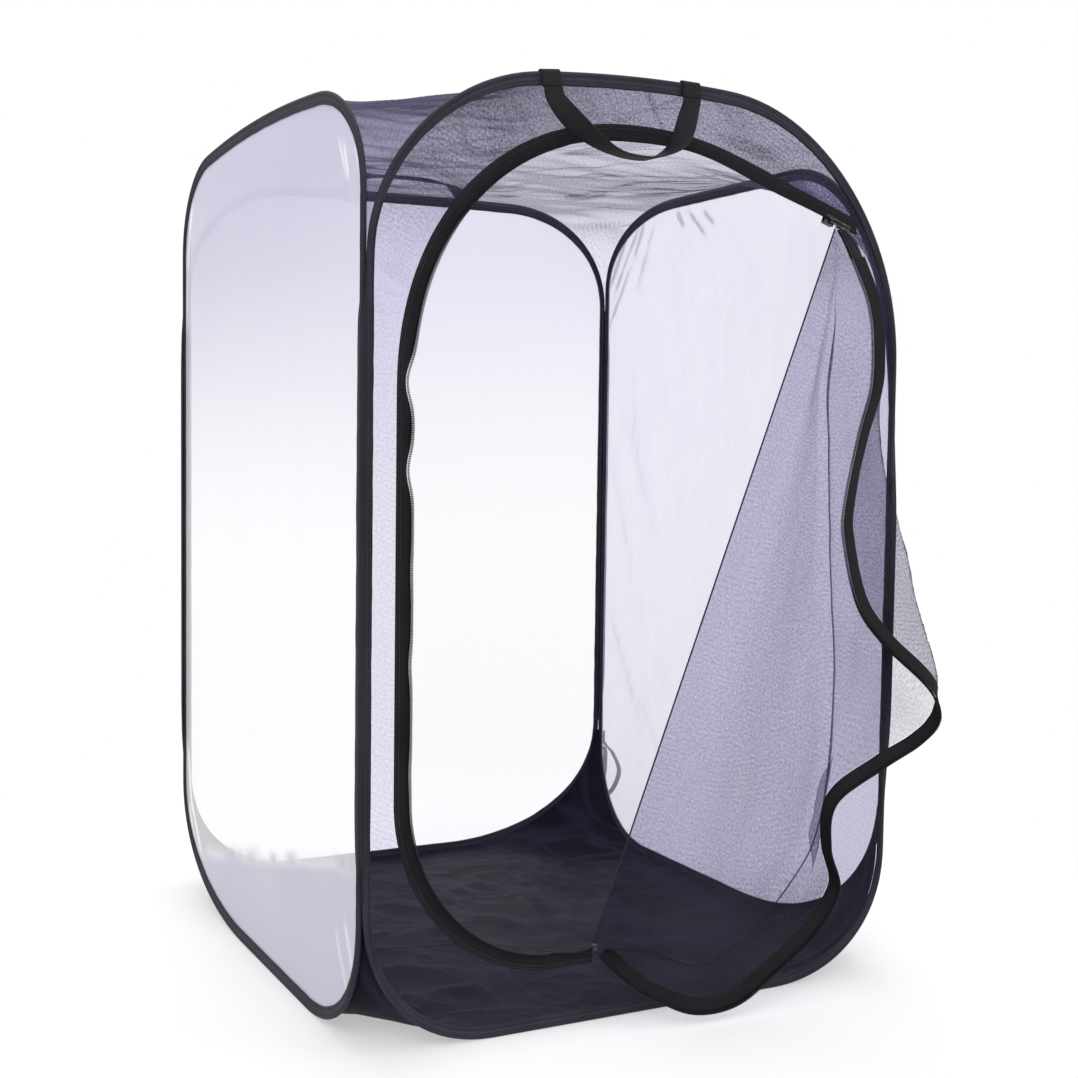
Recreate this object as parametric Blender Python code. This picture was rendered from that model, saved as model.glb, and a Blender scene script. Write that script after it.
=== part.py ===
"""A pop-up insect cage: four sprung wire hoops in sewn bindings, with panels of film, cloth and net,
a net roof, a nylon floor, a zipped door flap, carrying handles and a storage loop.
Metres, +Z up, +Y to the back. The origin is on the ground under the middle of the cage."""

import math

import bmesh
import bpy
import numpy as np
from mathutils import Vector

# Overall sizes
cage_width = 0.610
cage_height = 0.914
front_crown = 0.033

# Clearance between sewn or touching pieces
seat_gap = 0.0003

# Hoops: sprung wire in a folded binding, with a crimped ferrule on the wire's joint
wire_radius = 0.00125
wire_facets = 5
ferrule_facets = 10
ferrule_wall = 0.00025
ferrule_length = 0.022
ferrule_bore_gap = 0.00025
bead_radius = 0.003
binding_cloth = 0.0009
band_width = 0.013
seam_band_width = 0.0072
band_edge_cloth = 0.0008
corner_reach = 0.136
corner_edge_inset = 0.0015
side_crown = 0.021
back_crown = 0.005

# Corner reaches across and up, as shares of corner_reach: top high side, top low side,
# bottom low side, bottom high side, where the high side is to the right or to the back
hoop_corner_shares = {
    "front": ((1.65, 1.75), (1.30, 1.15), (1.00, 1.05), (1.05, 0.98)),
    "left": ((0.80, 0.72), (0.88, 0.70), (1.02, 0.92), (1.85, 1.00)),
    "back": ((1.14, 0.99), (1.05, 1.05), (1.05, 1.05), (1.75, 1.22)),
    "right": ((1.30, 0.80), (1.40, 2.30), (1.90, 1.45), (0.92, 1.08)),
}
corner_power = 2.15
corner_steps = 7
crown_steps = 4
upright_steps = 2
foot_steps = 2

# Panels, roof and floor
panel_thickness = 0.0008
panel_bite = 0.0052
panel_ring_shares = (1.0, 0.93, 0.72, 0.38)
door_panel_ring_shares = (0.0, 0.45, 1.0)
roof_sag = 0.010
net_seat_depth = 0.0058
net_lift = 0.010
floor_slack = 0.004
net_steps = 16
net_rounds = 260

# How closely the roof and the floor keep to straight lines between two hoops, row by row out of a corner
gore_hold_shares = (1.0, 1.0, 0.9, 0.6, 0.25)

# Corner seam tapes
seam_tape_width = 0.0065
seam_tape_thickness = 0.0008

# Door outline in the front panel, as shares of half_pitch across and of hoop_height up: the uncut
# fold line runs from its top to its foot
door_top_share = (0.717, 0.897)
door_foot_share = (-0.199, 0.083)
door_turn_share = (0.530, 0.919)
door_arch_share = (-0.088, 0.968)
door_shoulder_share = (-0.847, 0.694)
door_heel_share = (-0.847, 0.267)
door_toe_share = -0.345
door_ease_share = 0.42
door_arch_power = 2.17
door_heel_power = 1.96
door_fold_steps = 7

# Zip: tapes, coils, stops, slider and pull tab
zip_tape_width = 0.015
zip_tape_lap = 0.006
zip_tape_thickness = 0.001
zip_coil_width = 0.0028
zip_coil_height = 0.0026
zip_stop_length = 0.005
zip_stop_width = 0.0056
slider_length = 0.012
slider_wall = 0.0012
slider_lip = 0.0045
slider_nose_share = 0.72
slider_shoulder_shares = (0.2, 0.75)
bail_wire = 0.0012
bail_span = 0.0060
bail_facets = 6
pull_tab_length = 0.026
pull_tab_width = 0.0062
pull_tab_thickness = 0.0012
pull_tab_head = 0.0016
pull_tab_play = 0.0006
pull_tab_taper_share = 0.72
pull_tab_chamfer_share = 0.33

# Door flap: net folded out along the fold line, hanging in front of the front hoop
flap_thickness = 0.0008
flap_start_share = 0.05
flap_seam_gap = 0.0008
flap_coil_gap = 0.0003
flap_rows = 36
flap_column_steps = (2, 2, 2, 1)

# Webbing handles and their sewn ends
webbing_width = 0.020
webbing_thickness = 0.0016
handle_end_depth = 0.015
handle_end_ease = 0.0006
handle_fold_steps = 7
front_handle_ends = (-0.120, 0.035)
front_handle_drop = 0.062
front_handle_reach = 0.013
back_handle_ends = (-0.080, 0.080)
back_handle_rise = 0.040
back_handle_reach = 0.012

# Elastic storage loop, sewn outside the lower back right corner, under the end of the seam tape
loop_seam_drop = 0.015
loop_drop = 0.080
loop_width = 0.027
loop_band_width = 0.010
loop_band_thickness = 0.0014
loop_pad_length = 0.016
loop_steps = 26
loop_sway_share = 1.15
loop_course_shares = (
    (0.0, 0.0),
    (0.0, 0.08),
    (0.35, 0.22),
    (0.80, 0.56),
    (0.75, 0.88),
    (0.0, 1.0),
    (-0.75, 0.88),
    (-1.0, 0.60),
    (-0.80, 0.34),
    (-0.42, 0.18),
    (-0.30, 0.10),
)

# A handle's course between its ends: shares of the way across, of the drop and of the reach outwards.
# The turn shares are the places on its length between which the webbing turns its edge outwards
handle_steps = 30
hanging_course_shares = (
    (0.0, 0.0, 0.0),
    (0.03, 0.20, 0.0),
    (0.17, 0.58, 0.45),
    (0.36, 0.90, 0.92),
    (0.53, 1.0, 1.0),
    (0.70, 0.97, 0.92),
    (0.88, 0.72, 0.45),
    (0.975, 0.25, 0.0),
    (1.0, 0.0, 0.0),
)
hanging_turn_shares = (0.05, 0.42)
standing_course_shares = (
    (0.0, 0.0, 0.0),
    (0.0, 0.30, 0.05),
    (0.02, 0.58, 0.20),
    (0.12, 0.86, 0.70),
    (0.30, 0.98, 1.0),
    (0.5, 1.0, 1.0),
    (0.70, 0.98, 1.0),
    (0.88, 0.86, 0.70),
    (0.98, 0.58, 0.20),
    (1.0, 0.30, 0.05),
    (1.0, 0.0, 0.0),
)
standing_turn_shares = (0.13, 0.36)

half_pitch = cage_width / 2 - bead_radius
half_edge = half_pitch - corner_edge_inset
hoop_height = cage_height - front_crown
door_top_across, door_top_up = door_top_share[0] * half_pitch, door_top_share[1] * hoop_height
door_foot_across, door_foot_up = door_foot_share[0] * half_pitch, door_foot_share[1] * hoop_height
door_arch_across, door_arch_up = door_arch_share[0] * half_pitch, door_arch_share[1] * hoop_height
door_side_across, door_shoulder_up = (
    door_shoulder_share[0] * half_pitch,
    door_shoulder_share[1] * hoop_height,
)
door_heel_up = door_heel_share[1] * hoop_height
door_toe_across = door_toe_share * half_pitch
hoop_crowns = {"front": front_crown, "left": side_crown, "back": back_crown, "right": 0.0}
sides = ("front", "left", "back", "right")
corners = {
    "back_left": (("back", -1), ("left", 1)),
    "back_right": (("back", 1), ("right", 1)),
    "front_left": (("front", -1), ("left", -1)),
    "front_right": (("front", 1), ("right", -1)),
}


def side_point(side, across, up, out=0.0):
    """A point of one side of the cage: across it, up, and out from its plane."""
    if side == "front":
        return Vector((across, -half_pitch - out, up))
    if side == "back":
        return Vector((across, half_pitch + out, up))
    if side == "left":
        return Vector((-half_pitch - out, across, up))
    return Vector((half_pitch + out, across, up))


def make_material(name, colour, roughness, metallic=0.0, alpha=1.0):
    """A plain finish with the piece's own colour."""
    made = bpy.data.materials.new(name)
    made.use_nodes = True
    shader = made.node_tree.nodes["Principled BSDF"]
    shader.inputs["Base Color"].default_value = (*colour, 1.0)
    shader.inputs["Roughness"].default_value = roughness
    shader.inputs["Metallic"].default_value = metallic
    shader.inputs["Alpha"].default_value = alpha
    made.diffuse_color = (*colour, alpha)
    return made


def make_object(name, points, faces, material, origin=None, smooth=True):
    """One closed or open mesh as a named object, with its origin on the given point."""
    start = Vector(origin) if origin is not None else Vector((0, 0, 0))
    mesh = bpy.data.meshes.new(name)
    mesh.from_pydata([Vector(p) - start for p in points], [], faces)
    tidy = bmesh.new()
    tidy.from_mesh(mesh)
    bmesh.ops.recalc_face_normals(tidy, faces=tidy.faces)
    tidy.to_mesh(mesh)
    tidy.free()
    mesh.materials.append(material)
    if smooth:
        mesh.shade_smooth()
    made = bpy.data.objects.new(name, mesh)
    made.location = start
    bpy.context.collection.objects.link(made)
    return made


def loft(name, rings, material, closed=False, origin=None, smooth=True):
    """A solid through rings of equal count, either round a closed path or capped at both ends."""
    count = len(rings[0])
    points = [p for ring in rings for p in ring]
    faces = []
    last = len(rings) if closed else len(rings) - 1
    for i in range(last):
        j = (i + 1) % len(rings)
        for k in range(count):
            m = (k + 1) % count
            faces.append((i * count + k, i * count + m, j * count + m, j * count + k))
    if not closed:
        faces.append(tuple(range(count)))
        faces.append(tuple((len(rings) - 1) * count + k for k in reversed(range(count))))
    return make_object(name, points, faces, material, origin, smooth)


def cloth(name, points, faces, thickness, material, origin=None):
    """A sheet of the given surface, thickened evenly to both sides."""
    made = make_object(name, points, faces, material, origin)
    solid = made.modifiers.new("thickness", "SOLIDIFY")
    solid.thickness = thickness
    solid.offset = 0.0
    solid.use_even_offset = False
    return made


def grid_faces(rows, columns):
    """Quads between rows of points that are listed one row after another."""
    faces = []
    for i in range(rows - 1):
        for j in range(columns - 1):
            k = i * columns + j
            faces.append((k, k + 1, k + columns + 1, k + columns))
    return faces


def corner_arc(centre, reach, start, end, power, steps):
    """Points of a rounded corner between two angles in degrees, both ends included."""
    points = []
    for k in range(steps + 1):
        angle = math.radians(start + (end - start) * k / steps)
        c, s = math.cos(angle), math.sin(angle)
        across = centre[0] + reach[0] * math.copysign(abs(c) ** (2 / power), c)
        up = centre[1] + reach[1] * math.copysign(abs(s) ** (2 / power), s)
        points.append((across, up))
    return points


def between(start, end, steps):
    """Inner points of a straight run."""
    return [
        (start[0] + (end[0] - start[0]) * k / steps, start[1] + (end[1] - start[1]) * k / steps)
        for k in range(1, steps)
    ]


def hoop_outline(side, inset, finer=1):
    """One hoop's curve at a depth inside the binding's outer edge, as points (across, up)
    that go up the low side, over the top, down the high side and back along the foot."""
    low, high = inset, hoop_height - inset
    edge = half_edge - inset
    reaches = [(a * corner_reach - inset, u * corner_reach - inset) for a, u in hoop_corner_shares[side]]
    top_high, top_low, foot_low, foot_high = reaches
    corner_places = (
        ((-edge + top_low[0], high - top_low[1]), top_low, 180, 90, crown_steps),
        ((edge - top_high[0], high - top_high[1]), top_high, 90, 0, upright_steps),
        ((edge - foot_high[0], low + foot_high[1]), foot_high, 0, -90, foot_steps),
        ((-edge + foot_low[0], low + foot_low[1]), foot_low, 270, 180, upright_steps),
    )
    arcs = []
    for centre, reach, start, end, _ in corner_places:
        arcs.append(corner_arc(centre, reach, start, end, corner_power, corner_steps * finer))
    points = []
    for k, (arc, place) in enumerate(zip(arcs, corner_places)):
        following = arcs[(k + 1) % len(arcs)]
        points += arc + between(arc[-1], following[0], place[-1] * finer)
    crowned = []
    for across, up in points:
        rise = max(2 * (up - low) / (high - low) - 1, 0.0) ** 2
        crowned.append((across, up + hoop_crowns[side] * (1 - (across / half_edge) ** 2) * rise))
    return crowned


def arc_start(side, end, top):
    """The height where a hoop's straight upright ends, at its low (-1) or high (1) side."""
    shares = hoop_corner_shares[side]
    if top:
        return hoop_height - corner_reach * shares[0 if end > 0 else 1][1]
    return corner_reach * shares[3 if end > 0 else 2][1]


def seam_height(corner, top):
    """The height where two neighbouring hoops part at a corner."""
    heights = [arc_start(side, end, top) for side, end in corners[corner]]
    return min(heights) if top else max(heights)


def inward_normals(points):
    """Unit normals that point into a closed curve of (across, up) points listed clockwise."""
    normals = []
    for k, point in enumerate(points):
        before = points[k - 1]
        after = points[(k + 1) % len(points)]
        along = Vector((after[0] - before[0], after[1] - before[1])).normalized()
        normals.append(Vector((along.y, -along.x)))
    return normals


def half_thickness(depth, width):
    """Half the binding's thickness at a depth from its outer edge."""
    edge = panel_thickness / 2 + seat_gap + band_edge_cloth
    share = min(max((depth - bead_radius) / (width - bead_radius), 0.0), 1.0)
    return bead_radius + (edge - bead_radius) * share


def local_band_width(normal):
    """The binding is narrower along the corner seams than along the top and the foot."""
    return seam_band_width * normal.x**2 + band_width * normal.y**2


def binding_section(width):
    """The folded binding's cut face as (depth, out) points: an outer fold round the wire's channel,
    and two legs with a slit between them for the panel's edge."""
    slit = panel_thickness / 2 + seat_gap
    channel = bead_radius - binding_cloth
    fold_angles = (90, 135, 180, 225, 270)
    outer = [
        (bead_radius + bead_radius * math.cos(math.radians(a)), bead_radius * math.sin(math.radians(a)))
        for a in fold_angles
    ]
    inner = [
        (bead_radius + channel * math.cos(math.radians(a)), channel * math.sin(math.radians(a)))
        for a in reversed(fold_angles)
    ]
    leg_low = [(width, -slit - band_edge_cloth), (width, -slit)]
    leg_high = [(width, slit), (width, slit + band_edge_cloth)]
    return outer + leg_low + inner + leg_high


def make_hoop(side, materials):
    """A side's wire, the ferrule on its joint and the binding round them."""
    path = hoop_outline(side, bead_radius)
    normals = inward_normals(path)
    bindings, wires = [], []
    for (across, up), normal in zip(path, normals):
        section = binding_section(local_band_width(normal))
        bindings.append(
            [
                side_point(
                    side,
                    across + normal.x * (depth - bead_radius),
                    up + normal.y * (depth - bead_radius),
                    out,
                )
                for depth, out in section
            ]
        )
        ring = []
        for k in range(wire_facets):
            angle = 2 * math.pi * k / wire_facets
            inward = wire_radius * math.cos(angle)
            ring.append(
                side_point(
                    side,
                    across + normal.x * inward,
                    up + normal.y * inward,
                    wire_radius * math.sin(angle),
                )
            )
        wires.append(ring)
    loft(side + "_hoop_binding", bindings, materials["binding"], closed=True)
    loft(side + "_hoop_wire", wires, materials["steel"], closed=True)
    make_ferrule(side, path, materials["steel"])


def make_ferrule(side, path, material):
    """The crimped sleeve round the wire's joint, in the middle of the hoop's foot."""
    lowest = min(up for _, up in path)
    run = [across for across, up in path if math.isclose(up, lowest, abs_tol=seat_gap)]
    foot = ((min(run) + max(run)) / 2, lowest)
    bore = wire_radius + ferrule_bore_gap
    outer = bore + ferrule_wall
    rings = []
    for radius, reach in ((bore, -1), (outer, -1), (outer, 1), (bore, 1)):
        ring = []
        for k in range(ferrule_facets):
            angle = 2 * math.pi * k / ferrule_facets
            ring.append(
                side_point(
                    side,
                    foot[0] + reach * ferrule_length / 2,
                    foot[1] + radius * math.cos(angle),
                    radius * math.sin(angle),
                )
            )
        rings.append(ring)
    loft(side + "_hoop_ferrule", rings, material, closed=True)


def panel_outline(side):
    """The panel's cut edge, inside the slit of its binding."""
    path = hoop_outline(side, bead_radius)
    return [
        (across + normal.x * (panel_bite - bead_radius), up + normal.y * (panel_bite - bead_radius))
        for (across, up), normal in zip(path, inward_normals(path))
    ]


def make_plain_panel(name, side, material):
    """A whole panel: rings of points from its edge to its middle."""
    outline = panel_outline(side)
    count = len(outline)
    middle = (0.0, hoop_height / 2)
    points = []
    for share in panel_ring_shares:
        for across, up in outline:
            points.append(
                side_point(
                    side,
                    middle[0] + (across - middle[0]) * share,
                    middle[1] + (up - middle[1]) * share,
                )
            )
    faces = []
    for ring in range(len(panel_ring_shares) - 1):
        for k in range(count):
            m = (k + 1) % count
            first, second = ring * count, (ring + 1) * count
            faces.append((first + k, first + m, second + m, second + k))
    points.append(side_point(side, *middle))
    start = (len(panel_ring_shares) - 1) * count
    for k in range(count):
        faces.append((start + k, start + (k + 1) % count, len(points) - 1))
    cloth(name, points, faces, panel_thickness, material)


def bezier(start, pull, push, end, steps):
    """Inner points and the end of a cubic curve."""
    points = []
    for k in range(1, steps + 1):
        t = k / steps
        weights = ((1 - t) ** 3, 3 * t * (1 - t) ** 2, 3 * t * t * (1 - t), t**3)
        points.append(
            tuple(sum(w * p[i] for w, p in zip(weights, (start, pull, push, end))) for i in (0, 1))
        )
    return points


def zip_path(steps=1):
    """The zipped edge of the door, from the top of the fold line over the arch, down the low side
    and along the bottom to the fold line's foot, as (across, up) points."""
    top = (door_top_across, door_top_up)
    turn = (door_turn_share[0] * half_pitch, door_turn_share[1] * hoop_height)
    run = Vector(turn) - Vector(top)
    arch = (door_arch_across, door_arch_up)
    reach = turn[0] - arch[0]
    easing = door_ease_share * reach
    points = [top] + between(top, turn, 3 * steps) + [turn]
    pull = (turn[0] + run.x * easing / run.length, turn[1] + run.y * easing / run.length)
    push = (arch[0] + easing, arch[1])
    points += bezier(turn, pull, push, arch, 4 * steps)
    shoulder = (arch[0] - door_side_across, arch[1] - door_shoulder_up)
    points += corner_arc((arch[0], door_shoulder_up), shoulder, 90, 180, door_arch_power, 8 * steps)[1:]
    heel = (door_side_across, door_heel_up)
    points += between(points[-1], heel, 3 * steps)
    toe_reach = (door_toe_across - door_side_across, door_heel_up - door_foot_up)
    points += corner_arc((door_toe_across, door_heel_up), toe_reach, 180, 270, door_heel_power, 7 * steps)
    points.append((door_foot_across, door_foot_up))
    return points


def path_normals(points):
    """Unit normals to the left of an open path of (across, up) points."""
    normals = []
    for k in range(len(points)):
        before = points[max(k - 1, 0)]
        after = points[min(k + 1, len(points) - 1)]
        along = Vector((after[0] - before[0], after[1] - before[1])).normalized()
        normals.append(Vector((-along.y, along.x)))
    return normals


def offset_path(points, distance):
    """An open path moved to its right by a distance, away from the middle of the door."""
    return [
        (p[0] - n.x * distance, p[1] - n.y * distance) for p, n in zip(points, path_normals(points))
    ]


def shortened(points, trim):
    """An open path with both of its ends drawn in."""
    first, last = Vector(points[0]), Vector(points[-1])
    start = first + (Vector(points[1]) - first).normalized() * trim
    end = last + (Vector(points[-2]) - last).normalized() * trim
    return [tuple(start)] + list(points[1:-1]) + [tuple(end)]


def ray_hit(origin, target, loop):
    """Where the ray from origin through target leaves a closed loop of points."""
    way = Vector(target) - Vector(origin)
    best = None
    for k, first in enumerate(loop):
        second = loop[(k + 1) % len(loop)]
        edge = Vector(second) - Vector(first)
        cross = way.x * edge.y - way.y * edge.x
        if abs(cross) < 1e-12:
            continue
        gap = Vector(first) - Vector(origin)
        along = (gap.x * edge.y - gap.y * edge.x) / cross
        share = (gap.x * way.y - gap.y * way.x) / cross
        if along > 0 and 0 <= share <= 1 and (best is None or along > best):
            best = along
    return tuple(Vector(origin) + way * best)


def make_front_panel(material):
    """The net front panel, open inside the door's zip and its fold line."""
    zipped = offset_path(zip_path(), zip_tape_width - zip_tape_lap)
    top, foot = (door_top_across, door_top_up), (door_foot_across, door_foot_up)
    inner = zipped + between(foot, top, door_fold_steps)
    outline = panel_outline("front")
    middle = ((door_side_across + door_arch_across) / 2, hoop_height / 2)
    outer = [ray_hit(middle, p, outline) for p in inner]
    points = []
    for share in door_panel_ring_shares:
        for (a0, u0), (a1, u1) in zip(outer, inner):
            points.append(side_point("front", a0 + (a1 - a0) * share, u0 + (u1 - u0) * share))
    count = len(inner)
    faces = []
    for ring in range(len(door_panel_ring_shares) - 1):
        for k in range(count):
            m = (k + 1) % count
            first, second = ring * count, (ring + 1) * count
            faces.append((first + k, first + m, second + m, second + k))
    cloth("front_panel", points, faces, panel_thickness, material)


def clipped_end(side, top, low_height, high_height):
    """A hoop's curve over its top or foot, between two seam heights, as (across, up) points
    from the low side to the high side."""
    path = hoop_outline(side, net_seat_depth, finer=4)
    turned = path if top else path[::-1]
    middle = hoop_height / 2
    sign = 1 if top else -1
    start = 0
    for k, point in enumerate(turned):
        rises = (point[1] - middle) * sign > 0 >= (turned[k - 1][1] - middle) * sign
        if rises and point[0] < 0:
            start = k
    turned = turned[start - 1 :] + turned[: start - 1]
    kept = [p for p in turned if (p[1] - middle) * sign > -hoop_height / 4]
    limits = (low_height, high_height)
    inside = [p for p in kept if (p[1] - limits[0 if p[0] < 0 else 1]) * sign > 0]
    edge = half_edge - net_seat_depth
    return [(-edge, low_height)] + inside + [(edge, high_height)]


def resample(points, count):
    """A polyline's points at equal spacing, count + 1 of them."""
    lengths = [0.0]
    for first, second in zip(points, points[1:]):
        lengths.append(lengths[-1] + (second - first).length)
    made = []
    for k in range(count + 1):
        want = lengths[-1] * k / count
        j = max(i for i in range(len(lengths) - 1) if lengths[i] <= want + 1e-12)
        share = (want - lengths[j]) / max(lengths[j + 1] - lengths[j], 1e-12)
        made.append(points[j].lerp(points[j + 1], min(share, 1.0)))
    return made


def hoop_edge_curve(side, top, count):
    """The line along which the roof or the floor is sewn to a hoop, on its inner face."""
    ends = {end: corner for corner, pair in corners.items() for s, end in pair if s == side}
    lift = net_lift if top else -net_lift
    heights = [seam_height(ends[end], top) + lift for end in (-1, 1)]
    path = clipped_end(side, top, *heights)
    inside = half_thickness(net_seat_depth, band_width) + seat_gap + panel_thickness / 2
    return resample([side_point(side, a, u, -inside) for a, u in path], count)


def net_faces(count):
    """Triangles of a square net, each pair cut across the corner of the net that it is nearest to."""
    faces = []
    for i in range(count):
        for j in range(count):
            a = i * (count + 1) + j
            b, c, d = a + 1, a + count + 2, a + count + 1
            if (i < count / 2) == (j < count / 2):
                faces += [(a, b, d), (b, c, d)]
            else:
                faces += [(a, b, c), (a, c, d)]
    return faces


def gore_places(grid):
    """The inner places near a square net's corners, each with its point on the straight line between
    two neighbouring hoops and with how closely it keeps to that."""
    last = len(grid) - 1
    places = []
    for row, hold in enumerate(gore_hold_shares, start=2):
        for step in range(1, row):
            for i_end in (0, last):
                for j_end in (0, last):
                    i, j, reach_i, reach_j = (
                        abs(i_end - step),
                        abs(j_end - (row - step)),
                        abs(i_end - row),
                        abs(j_end - row),
                    )
                    share = step / row
                    line_point = grid[i_end, reach_j] * (1 - share) + grid[reach_i, j_end] * share
                    places.append((i, j, line_point, hold))
    return places


def make_spanning_net(name, top, material):
    """The roof or the floor: a sheet stretched between the four hoops, which also fills the gores
    between their rounded corners. The roof sags a little, and the floor lies on the ground."""
    count = net_steps
    front = hoop_edge_curve("front", top, count)
    back = hoop_edge_curve("back", top, count)
    left = hoop_edge_curve("left", top, count)
    right = hoop_edge_curve("right", top, count)
    grid = np.zeros((count + 1, count + 1, 3))
    for k in range(count + 1):
        grid[0, k], grid[count, k] = front[k], back[k]
        grid[k, 0], grid[k, count] = left[k], right[k]
    for i, j, pair in (
        (0, 0, (front[0], left[0])),
        (0, count, (front[-1], right[0])),
        (count, 0, (back[0], left[-1])),
        (count, count, (back[-1], right[-1])),
    ):
        grid[i, j] = (pair[0] + pair[1]) / 2
    for i in range(1, count):
        for j in range(1, count):
            t, s = i / count, j / count
            grid[i, j] = (
                grid[0, j] * (1 - t) + grid[count, j] * t + grid[i, 0] * (1 - s) + grid[i, count] * s
            ) / 2
    ground = panel_thickness / 2
    gores = gore_places(grid)
    for _ in range(net_rounds):
        mean = (grid[:-2, 1:-1] + grid[2:, 1:-1] + grid[1:-1, :-2] + grid[1:-1, 2:]) / 4
        grid[1:-1, 1:-1] = mean
        if not top:
            grid[1:-1, 1:-1, 2] = np.maximum(mean[:, :, 2] - floor_slack, ground)
        for i, j, line_point, hold in gores:
            grid[i, j] += (line_point - grid[i, j]) * hold
    if top:
        for i in range(1, count):
            for j in range(1, count):
                t, s = i / count, j / count
                grid[i, j, 2] -= roof_sag * (16 * t * (1 - t) * s * (1 - s))
    points = [tuple(grid[i, j]) for i in range(count + 1) for j in range(count + 1)]
    cloth(name, points, net_faces(count), panel_thickness, material)


def make_seam_tape(corner, material):
    """The folded tape outside a corner, sewn to both bindings along their straight edges."""
    (first, first_end), (second, second_end) = corners[corner]
    low, high = seam_height(corner, False), seam_height(corner, True)
    near = bead_radius + seat_gap
    far = near + seam_tape_thickness
    reach = half_pitch - seam_tape_width
    chamfer = seam_tape_thickness / 2
    rings = []
    for up in (low, (low + high) / 2, high):
        ring = [
            side_point(first, first_end * reach, up, far),
            side_point(first, first_end * (half_pitch + far - chamfer), up, far),
            side_point(second, second_end * (half_pitch + far - chamfer), up, far),
            side_point(second, second_end * reach, up, far),
            side_point(second, second_end * reach, up, near),
            side_point(second, second_end * (half_pitch + near), up, near),
            side_point(first, first_end * reach, up, near),
        ]
        rings.append(ring)
    loft("seam_tape_" + corner, rings, material, smooth=False)


def strip_solid(name, path, widths, normals, width, thickness, material, lift=0.0, origin=None):
    """A flat strip along a path of points: its width lies along the given directions, and it is
    raised along the normals."""
    rings = []
    for point, across, normal in zip(path, widths, normals):
        centre = point + normal * lift
        wide = across * (width / 2)
        thick = normal * (thickness / 2)
        low, high = centre - thick, centre + thick
        rings.append([low - wide, low + wide, high + wide, high - wide])
    return loft(name, rings, material, origin=origin, smooth=False)


def make_panel_zip(materials):
    """The fixed half of the zip: its tape over the panel's cut edge, and the coil on the tape's edge."""
    path = zip_path()
    outward = Vector((0, -1, 0))
    tape_lift = panel_thickness / 2 + seat_gap + zip_tape_thickness / 2
    normals = path_normals(path)
    sideways = [Vector((n.x, 0, n.y)) for n in normals]
    tape = [side_point("front", *p) for p in offset_path(path, zip_tape_width / 2)]
    ups = [outward] * len(path)
    strip_solid(
        "door_zip_tape", tape, sideways, ups, zip_tape_width, zip_tape_thickness, materials["zip"], tape_lift
    )
    coil_place = -(seat_gap + zip_coil_width / 2)
    trimmed = shortened(offset_path(path, coil_place), zip_coil_width)
    coil = [side_point("front", *p) for p in trimmed]
    strip_solid(
        "door_zip_coil", coil, sideways, ups, zip_coil_width, zip_coil_height, materials["coil"], tape_lift
    )
    return tape_lift


def make_slider(tape_lift, materials):
    """The slider rides on the straight run below the top stop: two plates over and under the tape,
    joined beyond the coil, with a bail on the outer plate. The pull tab hangs from the bail."""
    top = Vector((door_top_across, 0, door_top_up))
    turn = Vector((door_turn_share[0] * half_pitch, 0, door_turn_share[1] * hoop_height))
    along = (turn - top).normalized()
    inward = Vector((-along.z, 0, along.x))
    if inward.z > 0:
        inward = -inward
    outward = Vector((0, -1, 0))
    base = top + Vector((0, -half_pitch, 0))
    start = zip_stop_length + seat_gap
    tape_half = max(zip_tape_thickness, zip_coil_height) / 2 + seat_gap
    web = seat_gap * 2 + zip_coil_width
    low = tape_lift - tape_half - slider_wall
    high = tape_lift + tape_half + slider_wall
    profile = [
        (-slider_lip, low),
        (web + slider_wall, low),
        (web + slider_wall, high),
        (-slider_lip, high),
        (-slider_lip, high - slider_wall),
        (web, high - slider_wall),
        (web, low + slider_wall),
        (-slider_lip, low + slider_wall),
    ]
    rings = []
    for distance, share in (
        (start, slider_nose_share),
        (start + slider_length * slider_shoulder_shares[0], 1.0),
        (start + slider_length * slider_shoulder_shares[1], 1.0),
        (start + slider_length, slider_nose_share),
    ):
        ring = []
        for side, out in profile:
            width = side * share if side < 0 else side
            ring.append(base + along * distance + inward * width + outward * out)
        rings.append(ring)
    body = loft("zip_slider", rings, materials["slider"], smooth=False)
    bail_middle = base + along * (start + slider_length / 2) + inward * ((web - slider_lip) / 2)
    bail_room = 2 * (math.hypot(pull_tab_head, pull_tab_thickness) / 2 + seat_gap)
    bail_height = bail_room + bail_wire
    bail_rings = []
    half_span = bail_span / 2
    bail_points = [
        (-half_span, high - slider_wall / 2),
        (-half_span, high + bail_height - bail_wire),
        (-half_span + bail_wire / 2, high + bail_height - bail_wire / 2),
        (half_span - bail_wire / 2, high + bail_height - bail_wire / 2),
        (half_span, high + bail_height - bail_wire),
        (half_span, high - slider_wall / 2),
    ]
    for k, (step, out) in enumerate(bail_points):
        point = bail_middle + along * step + outward * out
        before = bail_points[max(k - 1, 0)]
        after = bail_points[min(k + 1, len(bail_points) - 1)]
        way = (along * (after[0] - before[0]) + outward * (after[1] - before[1])).normalized()
        flat = way.cross(inward).normalized()
        ring = []
        for turn in range(bail_facets):
            angle = 2 * math.pi * turn / bail_facets
            ring.append(point + (flat * math.cos(angle) + inward * math.sin(angle)) * (bail_wire / 2))
        bail_rings.append(ring)
    bail = loft("bail", bail_rings, materials["slider"])
    join = body.modifiers.new("bail", "BOOLEAN")
    join.operation = "UNION"
    join.object = bail
    bail.hide_render = True
    bail.display_type = "WIRE"
    pin = bail_middle + outward * (high + bail_room / 2)
    bail_reach = math.hypot(bail_span / 2, bail_room / 2 + bail_wire) + bail_wire / 2
    make_pull_tab(pin, bail_reach, along, inward, outward, materials["slider"])


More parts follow.
